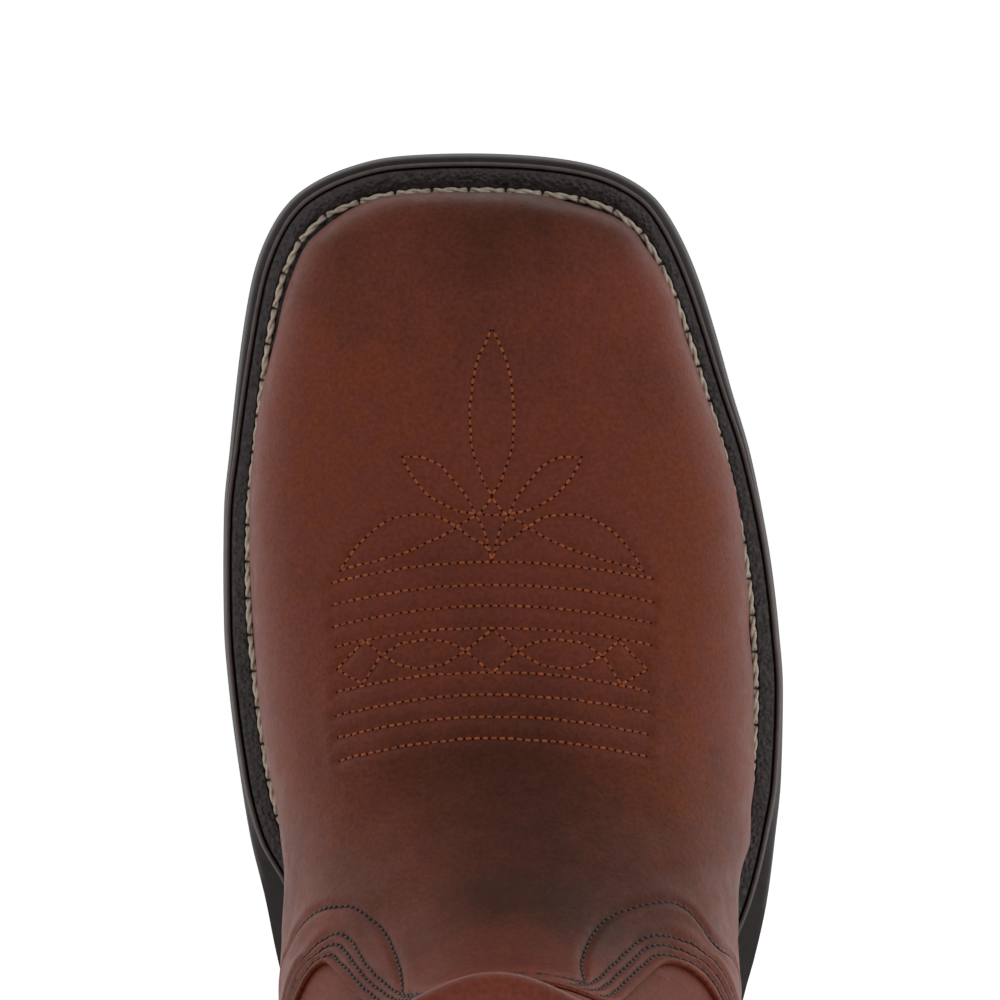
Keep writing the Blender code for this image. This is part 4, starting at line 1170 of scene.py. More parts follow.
# Tone laid on: x, t, reach across, reach along, amount of dark, amount of sunny brown
PATCHES = (
    # The dark at the toe is burnish; at t 122 and 150 on the middle line it is painted shade below the shaft
    (0, 4, 60, 22, 0.75, 0.0), (3, 36, 26, 22, 0.25, 0.0), (-2, 122, 24, 14, 0.35, 0.0),
    (-6, 150, 34, 28, 0.9, 0.0), (40, 70, 10, 36, -0.1, 0.3), (-37, 84, 12, 34, -0.1, 0.5),
    (27, 46, 14, 20, -0.1, 0.25), (38, 140, 12, 16, 0.2, 0.2), (-32, 134, 14, 18, -0.1, 0.5),
)
# Height up to which a patch reaches: above it the shaft has an even tone
PATCH_TOP, PATCH_FADE = 105, 30

# Soft creases of a boot worn a few times: from and to (u, v), reach in mm, depth in mm, ridges negative
CREASES = (
    ((-0.20, 0.505), (0.20, 0.505), 7.0, 0.5),
    ((-0.24, 0.555), (0.22, 0.560), 6.0, -0.3),
    ((-0.62, 0.60), (-0.36, 0.70), 9.0, 1.1),
    ((0.36, 0.70), (0.62, 0.60), 9.0, 1.1),
    ((-0.66, 0.66), (-0.38, 0.77), 8.0, -0.8),
    ((0.38, 0.77), (0.66, 0.66), 8.0, -0.8),
    ((0.80, 0.66), (1.20, 0.66), 11.0, 1.2),
    ((-0.55, 0.83), (-0.30, 0.86), 14.0, 0.9),
    ((0.30, 0.88), (0.58, 0.84), 14.0, 0.9),
)
CREASE_POINTS = 25

# Lockstitch of the welt: distance inside the rim over the share of the length
THREAD_INSET = {
    "along": (0.0, 0.06, 0.15, 0.29, 0.36, 0.45, 1.0),
    "inset": (7.5, 6.2, 5.25, 5.0, 5.5, 5.6, 5.6),
}

# How far the leather is drawn in above the welt, in mm, over the share of the length
DRAWN_IN = {
    "along": (0.0, 0.03, 0.08, 0.13, 0.20, 0.26, 0.29, 0.33, 0.375, 0.42, 0.48, 0.54, 1.0),
    "depth": (1.7, 1.6, 1.0, 0.4, 0.3, 0.35, 0.7, 1.05, 1.4, 1.1, 0.3, 0.0, 0.0),
}
# Heights between which the drawing in ends, in mm
DRAWN_TO = (60, 95)

# Spacing of the points to which a stitch row's distance is measured
ROW_SAMPLE = 0.5 * MM

# Width of the rim's sloping band in mm at the toe, and its share of that over the share of the length
RIM_BAND = {
    "along": (0.0, 0.06, 0.12, 0.20, 0.27, 1.0),
    "share": (1.0, 1.05, 0.9, 0.45, 0.2, 0.2),
}
RIM_BAND_WIDTH = 1.6


def edge_height(table: TABLE, u: np.ndarray) -> np.ndarray:
    """Height of an overlay's top edge.

    Args:
        table: its columns around, medial and lateral.
        u: places from the overlay's middle, medial positive.

    Returns:
        v as a share of the throat's.
    """
    medial = smooth_through(table["around"], table["medial"])(np.abs(u))
    lateral = smooth_through(table["around"], table["lateral"])(np.abs(u))
    return np.where(u > 0, medial, lateral)


def creased(last: Last, points: np.ndarray, outwards: np.ndarray) -> np.ndarray:
    """Points of the upper moved by the boot's creases.

    Args:
        last: the last.
        points: the points, any shape with x, y and z last.
        outwards: directions outwards at them.

    Returns:
        The moved points.
    """
    depth = np.zeros(points.shape[:-1])
    for start, end, reach, deep in CREASES:
        share = np.linspace(0, 1, CREASE_POINTS)[:, None]
        u, v = (np.array(start) + share * (np.array(end) - np.array(start))).T
        line = last.point(u, v)
        nearest = np.min([np.linalg.norm(points - place, axis=-1) for place in line], axis=0)
        depth += deep * MM * bell(nearest, reach * MM)
    along = (points[..., 1] + last.sole.length / 2) / last.sole.length
    low = 1 - smoothstep((points[..., 2] / MM - DRAWN_TO[0]) / (DRAWN_TO[1] - DRAWN_TO[0]))
    drawn = smooth_through(DRAWN_IN["along"], DRAWN_IN["depth"])(along) * low * MM
    return points - outwards * depth[..., None] - outwards * (1, 1, 0) * drawn[..., None]


def rim_inset(sole: SoleForm, band: float, inside: float) -> np.ndarray:
    """A line inside the sole's rim, following the width of its sloping band.

    Args:
        sole: the sole's form.
        band: how far across the band, as a share.
        inside: how far beyond that, in mm.

    Returns:
        The line as (x, t).
    """
    edge = sole.edge()
    share = smooth_through(RIM_BAND["along"], RIM_BAND["share"])(edge[:, 1] / sole.length)
    return inset(edge, sole.rim_step(edge) + (band * (share * RIM_BAND_WIDTH) + inside) * MM)


def stitch_distance(points: np.ndarray, rows: Sequence[np.ndarray]) -> np.ndarray:
    """Distance of points to the nearest stitch row, in metres.

    Args:
        points: the points, shape (..., 3).
        rows: lines in space.

    Returns:
        The distances, in the points' shape.
    """
    samples = np.concatenate([spaced(row, ROW_SAMPLE) for row in rows])
    tree = KDTree(len(samples))
    for k, place in enumerate(samples):
        tree.insert(place, k)
    tree.balance()
    flat = points.reshape(-1, 3)
    return np.array([tree.find(place)[2] for place in flat]).reshape(points.shape[:-1])


@dataclass
class Overlay:
    """A layer of hide over the last, from the feather line up to its own edge, with its stitch rows."""

    last: Last
    name: str
    node: str
    table: TABLE
    centre: float
    columns: int
    rows: int
    lift: float = 0.85 * MM
    foot_drop: float = 0.6 * MM
    groove: float = 0.40 * MM
    groove_reach: float = 0.95 * MM
    puff: float = 0.5 * MM
    puff_reach: float = 3.6 * MM
    puff_gap: float = 1.6 * MM
    # The grid's even rows end this far below the top edge. Then the border's rows follow: v beyond the edge
    # and share of the lift.
    border_from: float = 0.004
    border: tuple[tuple[float, float], ...] = ((-0.0030, 1.0), (-0.0012, 0.95), (0.0, 0.72), (0.0, -0.05))
    # Rows along the edge: how far from the overlay's ends they stop, and their points
    row_end: float = 0.006
    row_points: int = 500

    def places(self) -> tuple[np.ndarray, np.ndarray, np.ndarray]:
        """The layer's places.

        Returns:
            u, v and lift of its grid, the border's rows last.
        """
        reach = self.table["around"][-1]
        u = np.linspace(-reach, reach, self.columns)
        top = edge_height(self.table, u) * self.last.throat_v
        rise = np.linspace(0, 1, self.rows)[:-1]
        v = np.concatenate([rise[:, None] * (top - self.border_from), [top + dv for dv, _ in self.border]])
        lift = np.concatenate([np.ones(len(rise)), [share for _, share in self.border]]) * self.lift
        u, lift = np.broadcast_to(u, v.shape), np.broadcast_to(lift[:, None], v.shape)
        return self.centre + u, np.maximum(v, 0), lift

    def surface(self) -> tuple[np.ndarray, np.ndarray]:
        """The layer's points without its stitches.

        Returns:
            The points and the directions outwards.
        """
        u, v, lift = self.places()
        points = self.last.point(u, v, lift)
        outwards = self.last.outwards(u, v)
        points[0, :, 2] -= self.foot_drop
        return creased(self.last, points, outwards), outwards

    def edge_rows(
        self, distances: Sequence[float], closed: Sequence[float] | None = None
    ) -> list[np.ndarray]:
        """Lines inside the top edge, at distances square to it.

        Args:
            distances: their distances in mm.
            closed: their distances near the overlay's middle in mm, where they close up.

        Returns:
            The lines, in space.
        """
        reach = self.table["around"][-1] - self.row_end
        u = np.linspace(-reach, reach, self.row_points)
        v = edge_height(self.table, u) * self.last.throat_v
        points = self.last.point(self.centre + u, v, self.lift)
        inwards = np.cross(np.gradient(points, axis=0), self.last.outwards(self.centre + u, v))
        inwards /= np.linalg.norm(inwards, axis=1)[:, None]
        inwards *= -np.sign(inwards[self.row_points // 2, 2])
        open_share = smoothstep((np.abs(u) - SCALLOP_CLOSED_U) / SCALLOP_OPENING)
        lines = []
        spread = np.where(u < 0, LATERAL_SPREAD, 1.0) if closed else 1.0
        for far, near in zip(distances, closed or distances):
            distance = (near + (far - near) * open_share) * spread * MM
            lines.append(points + inwards * distance[:, None])
        return lines

    def build(
        self, rows: Sequence[np.ndarray], finish: bpy.types.Material
    ) -> tuple[bpy.types.Object, BVHTree]:
        """The layer, pulled in along its stitch rows and swelling between them.

        Args:
            rows: its stitch rows, in space.
            finish: its leather.

        Returns:
            The piece and its faces.
        """
        points, outwards = self.surface()
        distance = stitch_distance(points, rows)
        pulled = -self.groove * bell(distance, self.groove_reach)
        swell = self.puff * bell(distance, self.puff_reach) * (1 - bell(distance, self.puff_gap))
        points = points + outwards * (pulled + swell)[..., None]
        piece = sheet(self.name, points, attributes=tones(self.last, points), edge_rows=2)
        dressed(piece, Slot.LEATHER, [finish, CUT_EDGE.material()], self.node)
        return piece, surface_tree(piece)


def tones(last: Last, points: np.ndarray) -> dict[str, np.ndarray]:
    """Amounts of dark (burnish and painted shade) and sunny brown at points of the upper.

    Args:
        last: the last.
        points: the points.

    Returns:
        The attributes by name.
    """
    x, t, z = points[..., 0] / MM, (points[..., 1] + last.sole.length / 2) / MM, points[..., 2] / MM
    low = 1 - smoothstep((z - PATCH_TOP) / PATCH_FADE)
    rubbed_and_shade, sunny = np.zeros(x.shape), np.zeros(x.shape)
    for at_x, at_t, across, along, dark, warm in PATCHES:
        near = np.exp(-(((x - at_x) / across) ** 2) - ((t - at_t) / along) ** 2) * low
        # Dark: burnish at the toe, painted shade below the shaft
        rubbed_and_shade += dark * near
        sunny += warm * near
    return {"rubbed_and_shade": rubbed_and_shade, "sunny": sunny}


@dataclass
class Thread:
    """Rows of small lockstitches: beads between needle holes."""

    name: str
    finish: Grained
    pitch: float = 1.7 * MM
    bead: float = 0.38
    width: float = 0.36 * MM
    height: float = 0.28 * MM
    bead_segments: tuple[int, int] = (8, 6)
    hole: float = 0.25 * MM
    # A hole's half length and half depth as shares of its half width
    hole_shape: tuple[float, float] = (1.3, 0.5)
    hole_segments: tuple[int, int] = (7, 4)

    def frames(self, tree: BVHTree, rows: Sequence[np.ndarray], at_holes: bool) -> np.ndarray:
        """Where the stitches lie.

        Args:
            tree: the leather's faces.
            rows: the rows in space.
            at_holes: the places between the stitches, not theirs.

        Returns:
            Origin and axes of each: along, across and out of the leather.
        """
        frames = []
        for row in rows:
            ends, _ = dropped(tree, spaced(row, self.pitch))
            if len(ends) < 2:
                continue
            middles = ends if at_holes else (ends[1:] + ends[:-1]) / 2
            along = np.gradient(ends, axis=0) if at_holes else ends[1:] - ends[:-1]
            places, out = dropped(tree, middles)
            along /= np.linalg.norm(along, axis=1)[:, None]
            across = np.cross(out, along)
            across /= np.linalg.norm(across, axis=1)[:, None]
            frames.append(np.stack([places, along, across, np.cross(along, across)], axis=1))
        return np.concatenate(frames)

    def build(self, tree: BVHTree, rows: Sequence[np.ndarray]) -> None:
        """Sew the rows on.

        Args:
            tree: the leather's faces.
            rows: the rows in space.
        """
        bead = bmesh.new()
        around, across = self.bead_segments
        bmesh.ops.create_uvsphere(bead, u_segments=around, v_segments=across, radius=1)
        bmesh.ops.rotate(bead, verts=bead.verts, matrix=Matrix.Rotation(math.pi / 2, 3, "Y"))
        bmesh.ops.scale(bead, vec=(self.pitch * self.bead, self.width, self.height), verts=bead.verts)
        bead.verts.index_update()
        piece = joined_copies(self.name + "_stitches", bead, self.frames(tree, rows, at_holes=False))
        dressed(piece, Slot.LEATHER, [self.finish.material()])
        # Dark blobs at the needle holes: painted shade
        hole = bmesh.new()
        around, across = self.hole_segments
        bmesh.ops.create_uvsphere(hole, u_segments=around, v_segments=across, radius=1)
        length, depth = self.hole_shape
        bmesh.ops.scale(hole, vec=(self.hole * length, self.hole, self.hole * depth), verts=hole.verts)
        hole.verts.index_update()
        piece = joined_copies(self.name + "_holes", hole, self.frames(tree, rows, at_holes=True))
        dressed(piece, Slot.LEATHER, [HOLE_SHADE.material()])


@dataclass
class Upper:
    """Foot and shaft as one lasted shell with its lining."""

    last: Last
    columns: int = 240
    rows: int = 150
    wall: float = 0.0024

    def build(self, leather: bpy.types.Material) -> tuple[bpy.types.Object, BVHTree]:
        """The shell.

        Args:
            leather: its outer leather.

        Returns:
            The piece and its outer faces.
        """
        u, v = np.meshgrid(np.linspace(0, 2, self.columns + 1), np.linspace(0, 1, self.rows))
        points = creased(self.last, self.last.point(u, v), self.last.outwards(u, v))
        piece = sheet("upper_leather", points, attributes=tones(self.last, points), weld=True)
        dressed(piece, Slot.LEATHER, [leather, LINING.material()], "upper")
        tree = surface_tree(piece)
        wall = piece.modifiers.new("Wall", "SOLIDIFY")
        wall.thickness = self.wall
        wall.offset = -1
        wall.use_even_offset = True
        wall.material_offset = 1
        wall.material_offset_rim = 1
        return piece, tree


@dataclass
class Vamp:
    """Toe and instep: the overlay, the toe ornament in orange thread and the brown rows at its edge."""

    last: Last
    columns: int = 331
    rows: int = 297
    # Points of a curved row of the ornament, of an outer row and of a row across the tongue
    curve_points: int = 60
    outer_points: int = 160
    tongue_points: int = 120
    # Height from which the ornament's rows are dropped
    above: float = 0.5

    def build(self, leather: bpy.types.Material) -> None:
        """The vamp and its stitches."""
        layer = Overlay(self.last, "vamp_leather", "vamp", VAMP_EDGE, 0.0, self.columns, self.rows)
        smooth = sheet("vamp_form", layer.surface()[0])
        form = surface_tree(smooth)
        bpy.data.objects.remove(smooth)
        ornament = [self.on_top(form, row) for row in self.ornament()]
        seams = layer.edge_rows(SCALLOP_ROWS, SCALLOP_CLOSED) + self.outer_rows()
        _, faces = layer.build(ornament + seams, leather)
        Thread("ornament", ORANGE_THREAD).build(faces, ornament)
        Thread("vamp_seam", BROWN_THREAD, pitch=1.9 * MM, width=0.42 * MM).build(faces, seams)

    def ornament(self) -> list[np.ndarray]:
        """The ornament's rows in plan, as (x, t) in metres."""
        rows = []
        for half in PETAL_ROWS:
            line = smooth_line(half, self.curve_points)
            rows += [line, self.mirrored(line)]
        for half in LATTICE_ROWS:
            line = np.array(half)
            rows += [line, self.mirrored(line)]
        for x0, t0, middle, x1, t1 in ARCS:
            x = np.linspace(x0, x1, self.curve_points)
            left = x > ORNAMENT_X
            side = (x - ORNAMENT_X) / (np.where(left, x0, x1) - ORNAMENT_X)
            end = np.where(left, t0, t1)
            rows.append(np.column_stack([x, middle + (end - middle) * side**2]))
        return [row * MM for row in rows]

    def mirrored(self, line: np.ndarray) -> np.ndarray:
        """The line on the other side of the ornament's middle."""
        return np.column_stack([2 * ORNAMENT_X - line[:, 0], line[:, 1]])

    def on_top(self, form: BVHTree, row: np.ndarray) -> np.ndarray:
        """A row in plan dropped straight down on the vamp.

        Args:
            form: the vamp's faces.
            row: points as (x, t).

        Returns:
            The points in space.
        """
        places = []
        down = Vector((0, 0, -1))
        for x, t in row:
            place = form.ray_cast(Vector((x, t - self.last.sole.length / 2, self.above)), down)[0]
            if place:
                places.append(place[:])
        return np.array(places)

    def outer_rows(self) -> list[np.ndarray]:
        """The single row below each scallop, and the two across the tongue."""
        throat, lift = self.last.throat_v, Overlay.lift
        rows = []
        for side, places in OUTER_ROW.items():
            u, v = smooth_line(places, self.outer_points).T
            rows.append(self.last.point(u * side.value, v * throat, lift))
        u, v = smooth_line(TONGUE_ROW, self.tongue_points).T
        rows.append(self.last.point(u, v * throat, lift))
        rows.append(self.last.point(u * TONGUE_NARROWED, (v + TONGUE_STEP) * throat, lift))
        return rows


@dataclass
class Counter:
    """Overlay round the heel with its double row."""

    last: Last
    columns: int = 181
    rows: int = 121

    def build(self, leather: bpy.types.Material) -> None:
        """The counter and its stitches."""
        layer = Overlay(self.last, "counter_leather", "counter", COUNTER_EDGE, 1.0, self.columns, self.rows)
        seams = layer.edge_rows(COUNTER_ROWS)
        _, faces = layer.build(seams, leather)
        Thread("counter_seam", BROWN_THREAD, pitch=1.9 * MM).build(faces, seams)


@dataclass
class SideSeam:
    """Raised strip over one side seam of the shaft, a stitch row along each of its edges."""

    last: Last
    side: Side
    u: float = 0.5
    start: float = 0.41
    end: float = 0.975
    width: float = 5 * MM
    height: float = 1.8 * MM
    rows: int = 120
    columns: int = 17
    # Section of the strip in shares of its height: how full it is, how sharply its edges fall, the hollow
    # along its middle and the highest share
    fullness: float = 1.25
    edge_power: int = 6
    hollow: float = 0.12
    highest: float = 1.05
    stitch_from_edge: float = 1.1 * MM
    # Small step of u by which the strip's width is turned into u
    probe: float = 0.01

    def build(self, leather: bpy.types.Material) -> None:
        """The strip and its stitches."""
        v = np.linspace(self.start, self.end, self.rows)
        u = self.u * self.side.value
        probe = self.probe * self.side.value
        step = np.linalg.norm(self.last.point(u + probe, v) - self.last.point(u, v), axis=1)
        across = np.linspace(-1, 1, self.columns)
        full = self.fullness * (1 - np.abs(across) ** self.edge_power)
        shape = np.clip(full - self.hollow * np.cos(np.pi * across), 0, self.highest)
        grid_u = u + np.outer(self.width / 2 / step * probe, across)
        lift = np.broadcast_to(self.height * shape, grid_u.shape)
        outwards = self.last.outwards(grid_u, v[:, None])
        points = creased(self.last, self.last.point(grid_u, v[:, None], lift), outwards)
        name = "seam_" + self.side.name.lower()
        strip = sheet(name + "_strip", points, attributes=tones(self.last, points))
        dressed(strip, Slot.LEATHER, [leather], name)
        reach = (self.width / 2 - self.stitch_from_edge) / step * probe
        rows = [self.last.point(u + sign * reach, v, self.height) for sign in (1, -1)]
        Thread(name, BROWN_THREAD, pitch=2.1 * MM).build(surface_tree(strip), rows)


@dataclass
class Binding:
    """Binding folded over the collar: two rolls of leather with a stitched valley between them."""

    last: Last
    steps: int = 300
    # A v just below the rim, for the direction downwards
    below_rim: float = 0.985
    # Section and valley in mm: below the rim and out of the upper
    section: tuple[tuple[float, float], ...] = (
        (11.0, 0.05), (11.0, 0.9), (10.5, 1.5), (9.0, 1.9), (7.4, 1.75), (6.6, 1.1), (6.2, 0.8), (5.8, 1.1),
        (5.0, 1.8), (3.4, 2.1), (1.6, 2.05), (0.0, 1.7), (-1.0, 0.7), (-1.5, -1.2), (-1.0, -3.1), (0.0, -4.1),
        (1.6, -4.4), (6.0, -4.4), (10.5, -4.1), (11.0, -3.6), (11.0, -2.4),
    )
    valley: tuple[float, float] = (6.2, 0.8)

    def build(self, leather: bpy.types.Material) -> None:
        """The binding and its stitches."""
        u = np.linspace(0, 2, self.steps + 1)[:-1]
        rim = self.last.point(u, 1.0)
        out = self.last.outwards(u, 1.0)
        down = self.last.point(u, self.below_rim) - rim
        down /= np.linalg.norm(down, axis=1)[:, None]
        rings = [rim + down * below * MM + out * lift * MM for below, lift in self.section]
        piece = loops_surface("collar_binding", rings + rings[:1])
        dressed(piece, Slot.LEATHER, [leather], "binding")
        below, lift = self.valley
        row = rim + down * below * MM + out * lift * MM
        row = np.vstack([row, row[:1]])
        Thread("binding", BROWN_THREAD, pitch=2.3 * MM).build(surface_tree(piece), [row])


@dataclass
class Insole:
    """Insole inside the foot, its edge rolled."""

    last: Last
    wall: float = 0.0024
    roll: float = 0.8 * MM
    roll_share: float = 0.3

    def build(self) -> None:
        """The insole."""
        sole = self.last.sole
        outline = self.last.feather_outline(self.wall + sole.fit)
        top, part = sole.insole_top, self.roll * self.roll_share
        rings = [
            sole.placed(outline, sole.rest),
            sole.placed(outline, lambda t: top(t) - self.roll),
            sole.placed(inset(outline, part), lambda t: top(t) - part),
            sole.placed(inset(outline, self.roll), top),
        ]
        rings = closing(rings[0])[::-1] + rings + closing(rings[-1])
        dressed(loops_surface("insole_board", rings), Slot.INSOLE, [INSOLE_LEATHER.material()], "insole")


@dataclass
class Welt:
    """Welt round the boot with its channel and the heavy two-ply lockstitch."""

    last: Last
    wall: float = 0.0024
    gap_mm: float = 1.25
    # Its upper outer edge: inside the outline and below the top, in mm
    rounding: tuple[tuple[float, float], ...] = ((0.0, 0.7), (0.25, 0.2), (0.8, 0.0))
    channel: float = 0.5 * MM
    channel_reach: float = 0.9 * MM
    channel_steps: int = 9
    stitch: float = 7.7 * MM
    # The cord: radius of a ply, of its path and length of one twist
    ply: float = 0.44 * MM
    lay: float = 0.31 * MM
    twist: float = 7.0 * MM
    # A stitch's rise in its middle, and how it dips and thins towards its ends
    arch: float = 0.55 * MM
    rise: float = 0.35 * MM
    dip: float = 0.9 * MM
    dip_power: int = 5
    thinning: float = 0.4
    thinning_power: int = 4
    ply_rings: int = 15
    ply_sides: int = 7

    def thread_line(self) -> np.ndarray:
        """The lockstitch's line seen from above, as (x, t)."""
        sole = self.last.sole
        edge = sole.edge()
        depth = smooth_through(THREAD_INSET["along"], THREAD_INSET["inset"])(edge[:, 1] / sole.length) * MM
        return inset(edge, sole.rim_step(edge) + depth)

    def build(self) -> None:
        """The welt and its thread."""
        sole = self.last.sole
        outer = rim_inset(sole, 1.0, self.gap_mm)
        inner = self.last.feather_outline(self.wall)
        thread = self.thread_line()
        top = sole.welt_top
        rings = [sole.placed(inner, sole.rest), sole.placed(outer, sole.rest)]
        for inside, below in self.rounding:
            rings.append(sole.placed(inset(outer, inside * MM), lambda t: top(t) - below * MM))
        for share in np.linspace(-1, 1, self.channel_steps):
            depth = self.channel * (1 - share * share)
            shifted = thread + (inset(thread, self.channel_reach) - thread) * share
            rings.append(sole.placed(shifted, lambda t: top(t) - depth))
        rings += [sole.placed(inner, top), sole.placed(inner, sole.rest)]
        piece = loops_surface("stitched_welt", rings)
        dressed(piece, Slot.RUBBER, [WELT_LEATHER.material()], "welt")
        self.sew(np.vstack([thread, thread[:1]]))

    def sew(self, line: np.ndarray) -> None:
        """The lockstitch along its line.

        Args:
            line: the thread's path as (x, t), closed.
        """
        sole = self.last.sole
        path = sole.placed(line, lambda t: sole.welt_top(t) - self.channel)
        ends = spaced(path, self.stitch)
        along = ends[1:] - ends[:-1]
        along /= np.linalg.norm(along, axis=1)[:, None]
        across = np.cross((0, 0, 1), along)
        across /= np.linalg.norm(across, axis=1)[:, None]
        frames = np.stack([(ends[1:] + ends[:-1]) / 2, along, across, np.cross(along, across)], axis=1)
        for k, start in enumerate((0.0, math.pi)):
            template = self.ply_shape(start)
            piece = joined_copies(f"welt_cord_{'ab'[k]}", template, frames)
            dressed(piece, Slot.LEATHER, [CORD.material()])

    def ply_shape(self, start: float) -> bmesh.types.BMesh:
        """One ply of a stitch, twisted about its line, its ends dipping into the welt.

        Args:
            start: angle at which the ply starts.

        Returns:
            The shape.
        """
        share = np.linspace(-1, 1, self.ply_rings)
        x = share * self.stitch / 2
        angle = start + 2 * np.pi * x / self.twist
        z = self.arch + self.rise - (self.arch + self.dip) * np.abs(share) ** self.dip_power
        radius = self.ply * (1 - np.abs(share) ** self.thinning_power * self.thinning)
        centre = np.column_stack([x, self.lay * np.cos(angle), z + self.lay * np.sin(angle)])
        around = np.linspace(0, 2 * np.pi, self.ply_sides + 1)
        ring = np.stack([np.zeros(len(around)), np.cos(around), np.sin(around)], axis=1)
        points = centre[:, None] + ring * radius[:, None, None]
        tube = sheet("ply", points, weld=True)
        mesh = bmesh.new()
        mesh.from_mesh(tube.data)
        bpy.data.objects.remove(tube)
        mesh.verts.index_update()
        return mesh


@dataclass
class Outsole:
    """Moulded rubber outsole: flared edge, shoulder and bead, underside and lugs."""

    sole: SoleForm
    chamfer: float = 1.2 * MM
    chamfer_share: float = 0.3
    # The shoulder starts at this share of the thickness below the seat and has a bend on its way to the rim:
    # share of the rim's step and share of the shoulder's height left there
    ledge: float = 0.3
    bend: tuple[float, float] = (0.3, 0.45)
    lugs_from: float = 0.035
    lugs_to: float = 0.475
    lug_length: float = 8.8 * MM
    lug_gap: float = 4.2 * MM
    lug_slant: float = 2.6 * MM
    lug_taper: float = 0.6 * MM
    lug_sink: float = 1.3 * MM
    lug_bevel: float = 0.5 * MM
    # Section of the rim: share of the sloping band, distance beyond it and height above the seat in mm
    rim: tuple[tuple[float, float, float], ...] = (
        (0.0, 0.0, 0.0), (0.03, 0.0, 1.2), (0.2, 0.0, 2.2), (0.5, 0.0, 3.0), (0.8, 0.0, 3.3), (1.0, 0.0, 3.4),
        (1.0, 0.85, 3.45), (1.0, 0.98, 3.2), (1.0, 1.02, 0.1),
    )
    # The bead's radius and its middle: beyond the band and above the seat
    bead_mm: float = 0.42
    bead_at_mm: tuple[float, float] = (0.42, 3.6)
    bead_sides: int = 12

    def build(self) -> None:
        """The outsole and its lugs."""
        sole = self.sole
        edge = sole.edge()
        part = self.chamfer * self.chamfer_share
        inwards, height_left = self.bend
        shoulder = inset(edge, sole.rim_step(edge) * inwards)
        rings = [
            sole.placed(inset(edge, self.chamfer), sole.underside),
            sole.placed(inset(edge, part), lambda t: sole.underside(t) + part),
            sole.placed(edge, lambda t: sole.underside(t) + self.chamfer),
            sole.placed(edge, lambda t: sole.seat(t) - self.ledge * sole.thickness(t)),
            sole.placed(shoulder, lambda t: sole.seat(t) - self.ledge * sole.thickness(t) * height_left),
        ]
        for band, inside, height in self.rim:
            rings.append(sole.placed(rim_inset(sole, band, inside), lambda t: sole.seat(t) + height * MM))
        rings = closing(rings[0])[::-1] + rings + closing(rings[-1])
        piece = loops_surface("rubber_outsole", rings)
        rubber = RUBBER.material()
        dressed(piece, Slot.RUBBER, [rubber], "outsole")
        dressed(self.lugs(), Slot.RUBBER, [rubber])
        dressed(self.rim_bead(), Slot.RUBBER, [RIM_HIGHLIGHT_RUBBER.material()])

    def rim_bead(self) -> bpy.types.Object:
        """The bead along the rim, pale with a painted highlight."""
        rings = []
        beyond, above = self.bead_at_mm
        for angle in np.linspace(0, 2 * np.pi, self.bead_sides + 1):
            line = rim_inset(self.sole, 1.0, beyond - self.bead_mm * math.cos(angle))
            height = (above + self.bead_mm * math.sin(angle)) * MM
            rings.append(self.sole.placed(line, lambda t: self.sole.seat(t) + height))
        return loops_surface("rim_bead", rings)

    def lugs(self) -> bpy.types.Object:
        """The forefoot's lugs in slanted rows, their edges rounded."""
        mesh = bmesh.new()
        pitch = self.lug_length + self.lug_gap
        count = int((self.lugs_to - self.lugs_from) * self.sole.length / pitch)
        for row in range(count):
            start = self.lugs_from * self.sole.length + row * pitch
            for left, right, slant in LUG_COLUMNS:
                cube = bmesh.ops.create_cube(mesh, size=2)["verts"]
                for corner in cube:
                    corner.co = self.lug_corner(start, left, right, slant, corner.co)
        edges = mesh.edges[:]
        bmesh.ops.bevel(
            mesh, geom=edges, offset=self.lug_bevel, affect="EDGES", segments=2, profile=0.5, material=-1
        )
        return finished("forefoot_lugs", mesh)

    def lug_corner(self, start: float, left: float, right: float, slant: int, corner: Vector) -> tuple:
        """Where a lug's corner lies.

        Args:
            start: t of the lug's front.
            left: share of the sole's width where it starts, from the lateral side.
            right: share where it ends.
            slant: which way it slants.
            corner: the cube's corner, -1 or 1 each way.

        Returns:
            The corner's place.
        """
        side = 1 if corner.x < 0 else -1
        t = start + (self.lug_length if corner.y > 0 else 0) + slant * self.lug_slant * side
        along = t / self.sole.length
        medial, lateral = (float(reach) - self.chamfer for reach in self.sole.sides(along))
        x = -lateral + (left if side > 0 else right) * (medial + lateral)
        under = float(self.sole.underside(t))
        if corner.z > 0:
            return x, t - self.sole.length / 2, under + self.lug_sink
        end = 1 if corner.y < 0 else -1
        place = t - self.sole.length / 2 + end * self.lug_taper
        return x + side * self.lug_taper, place, under - self.sole.lug_depth


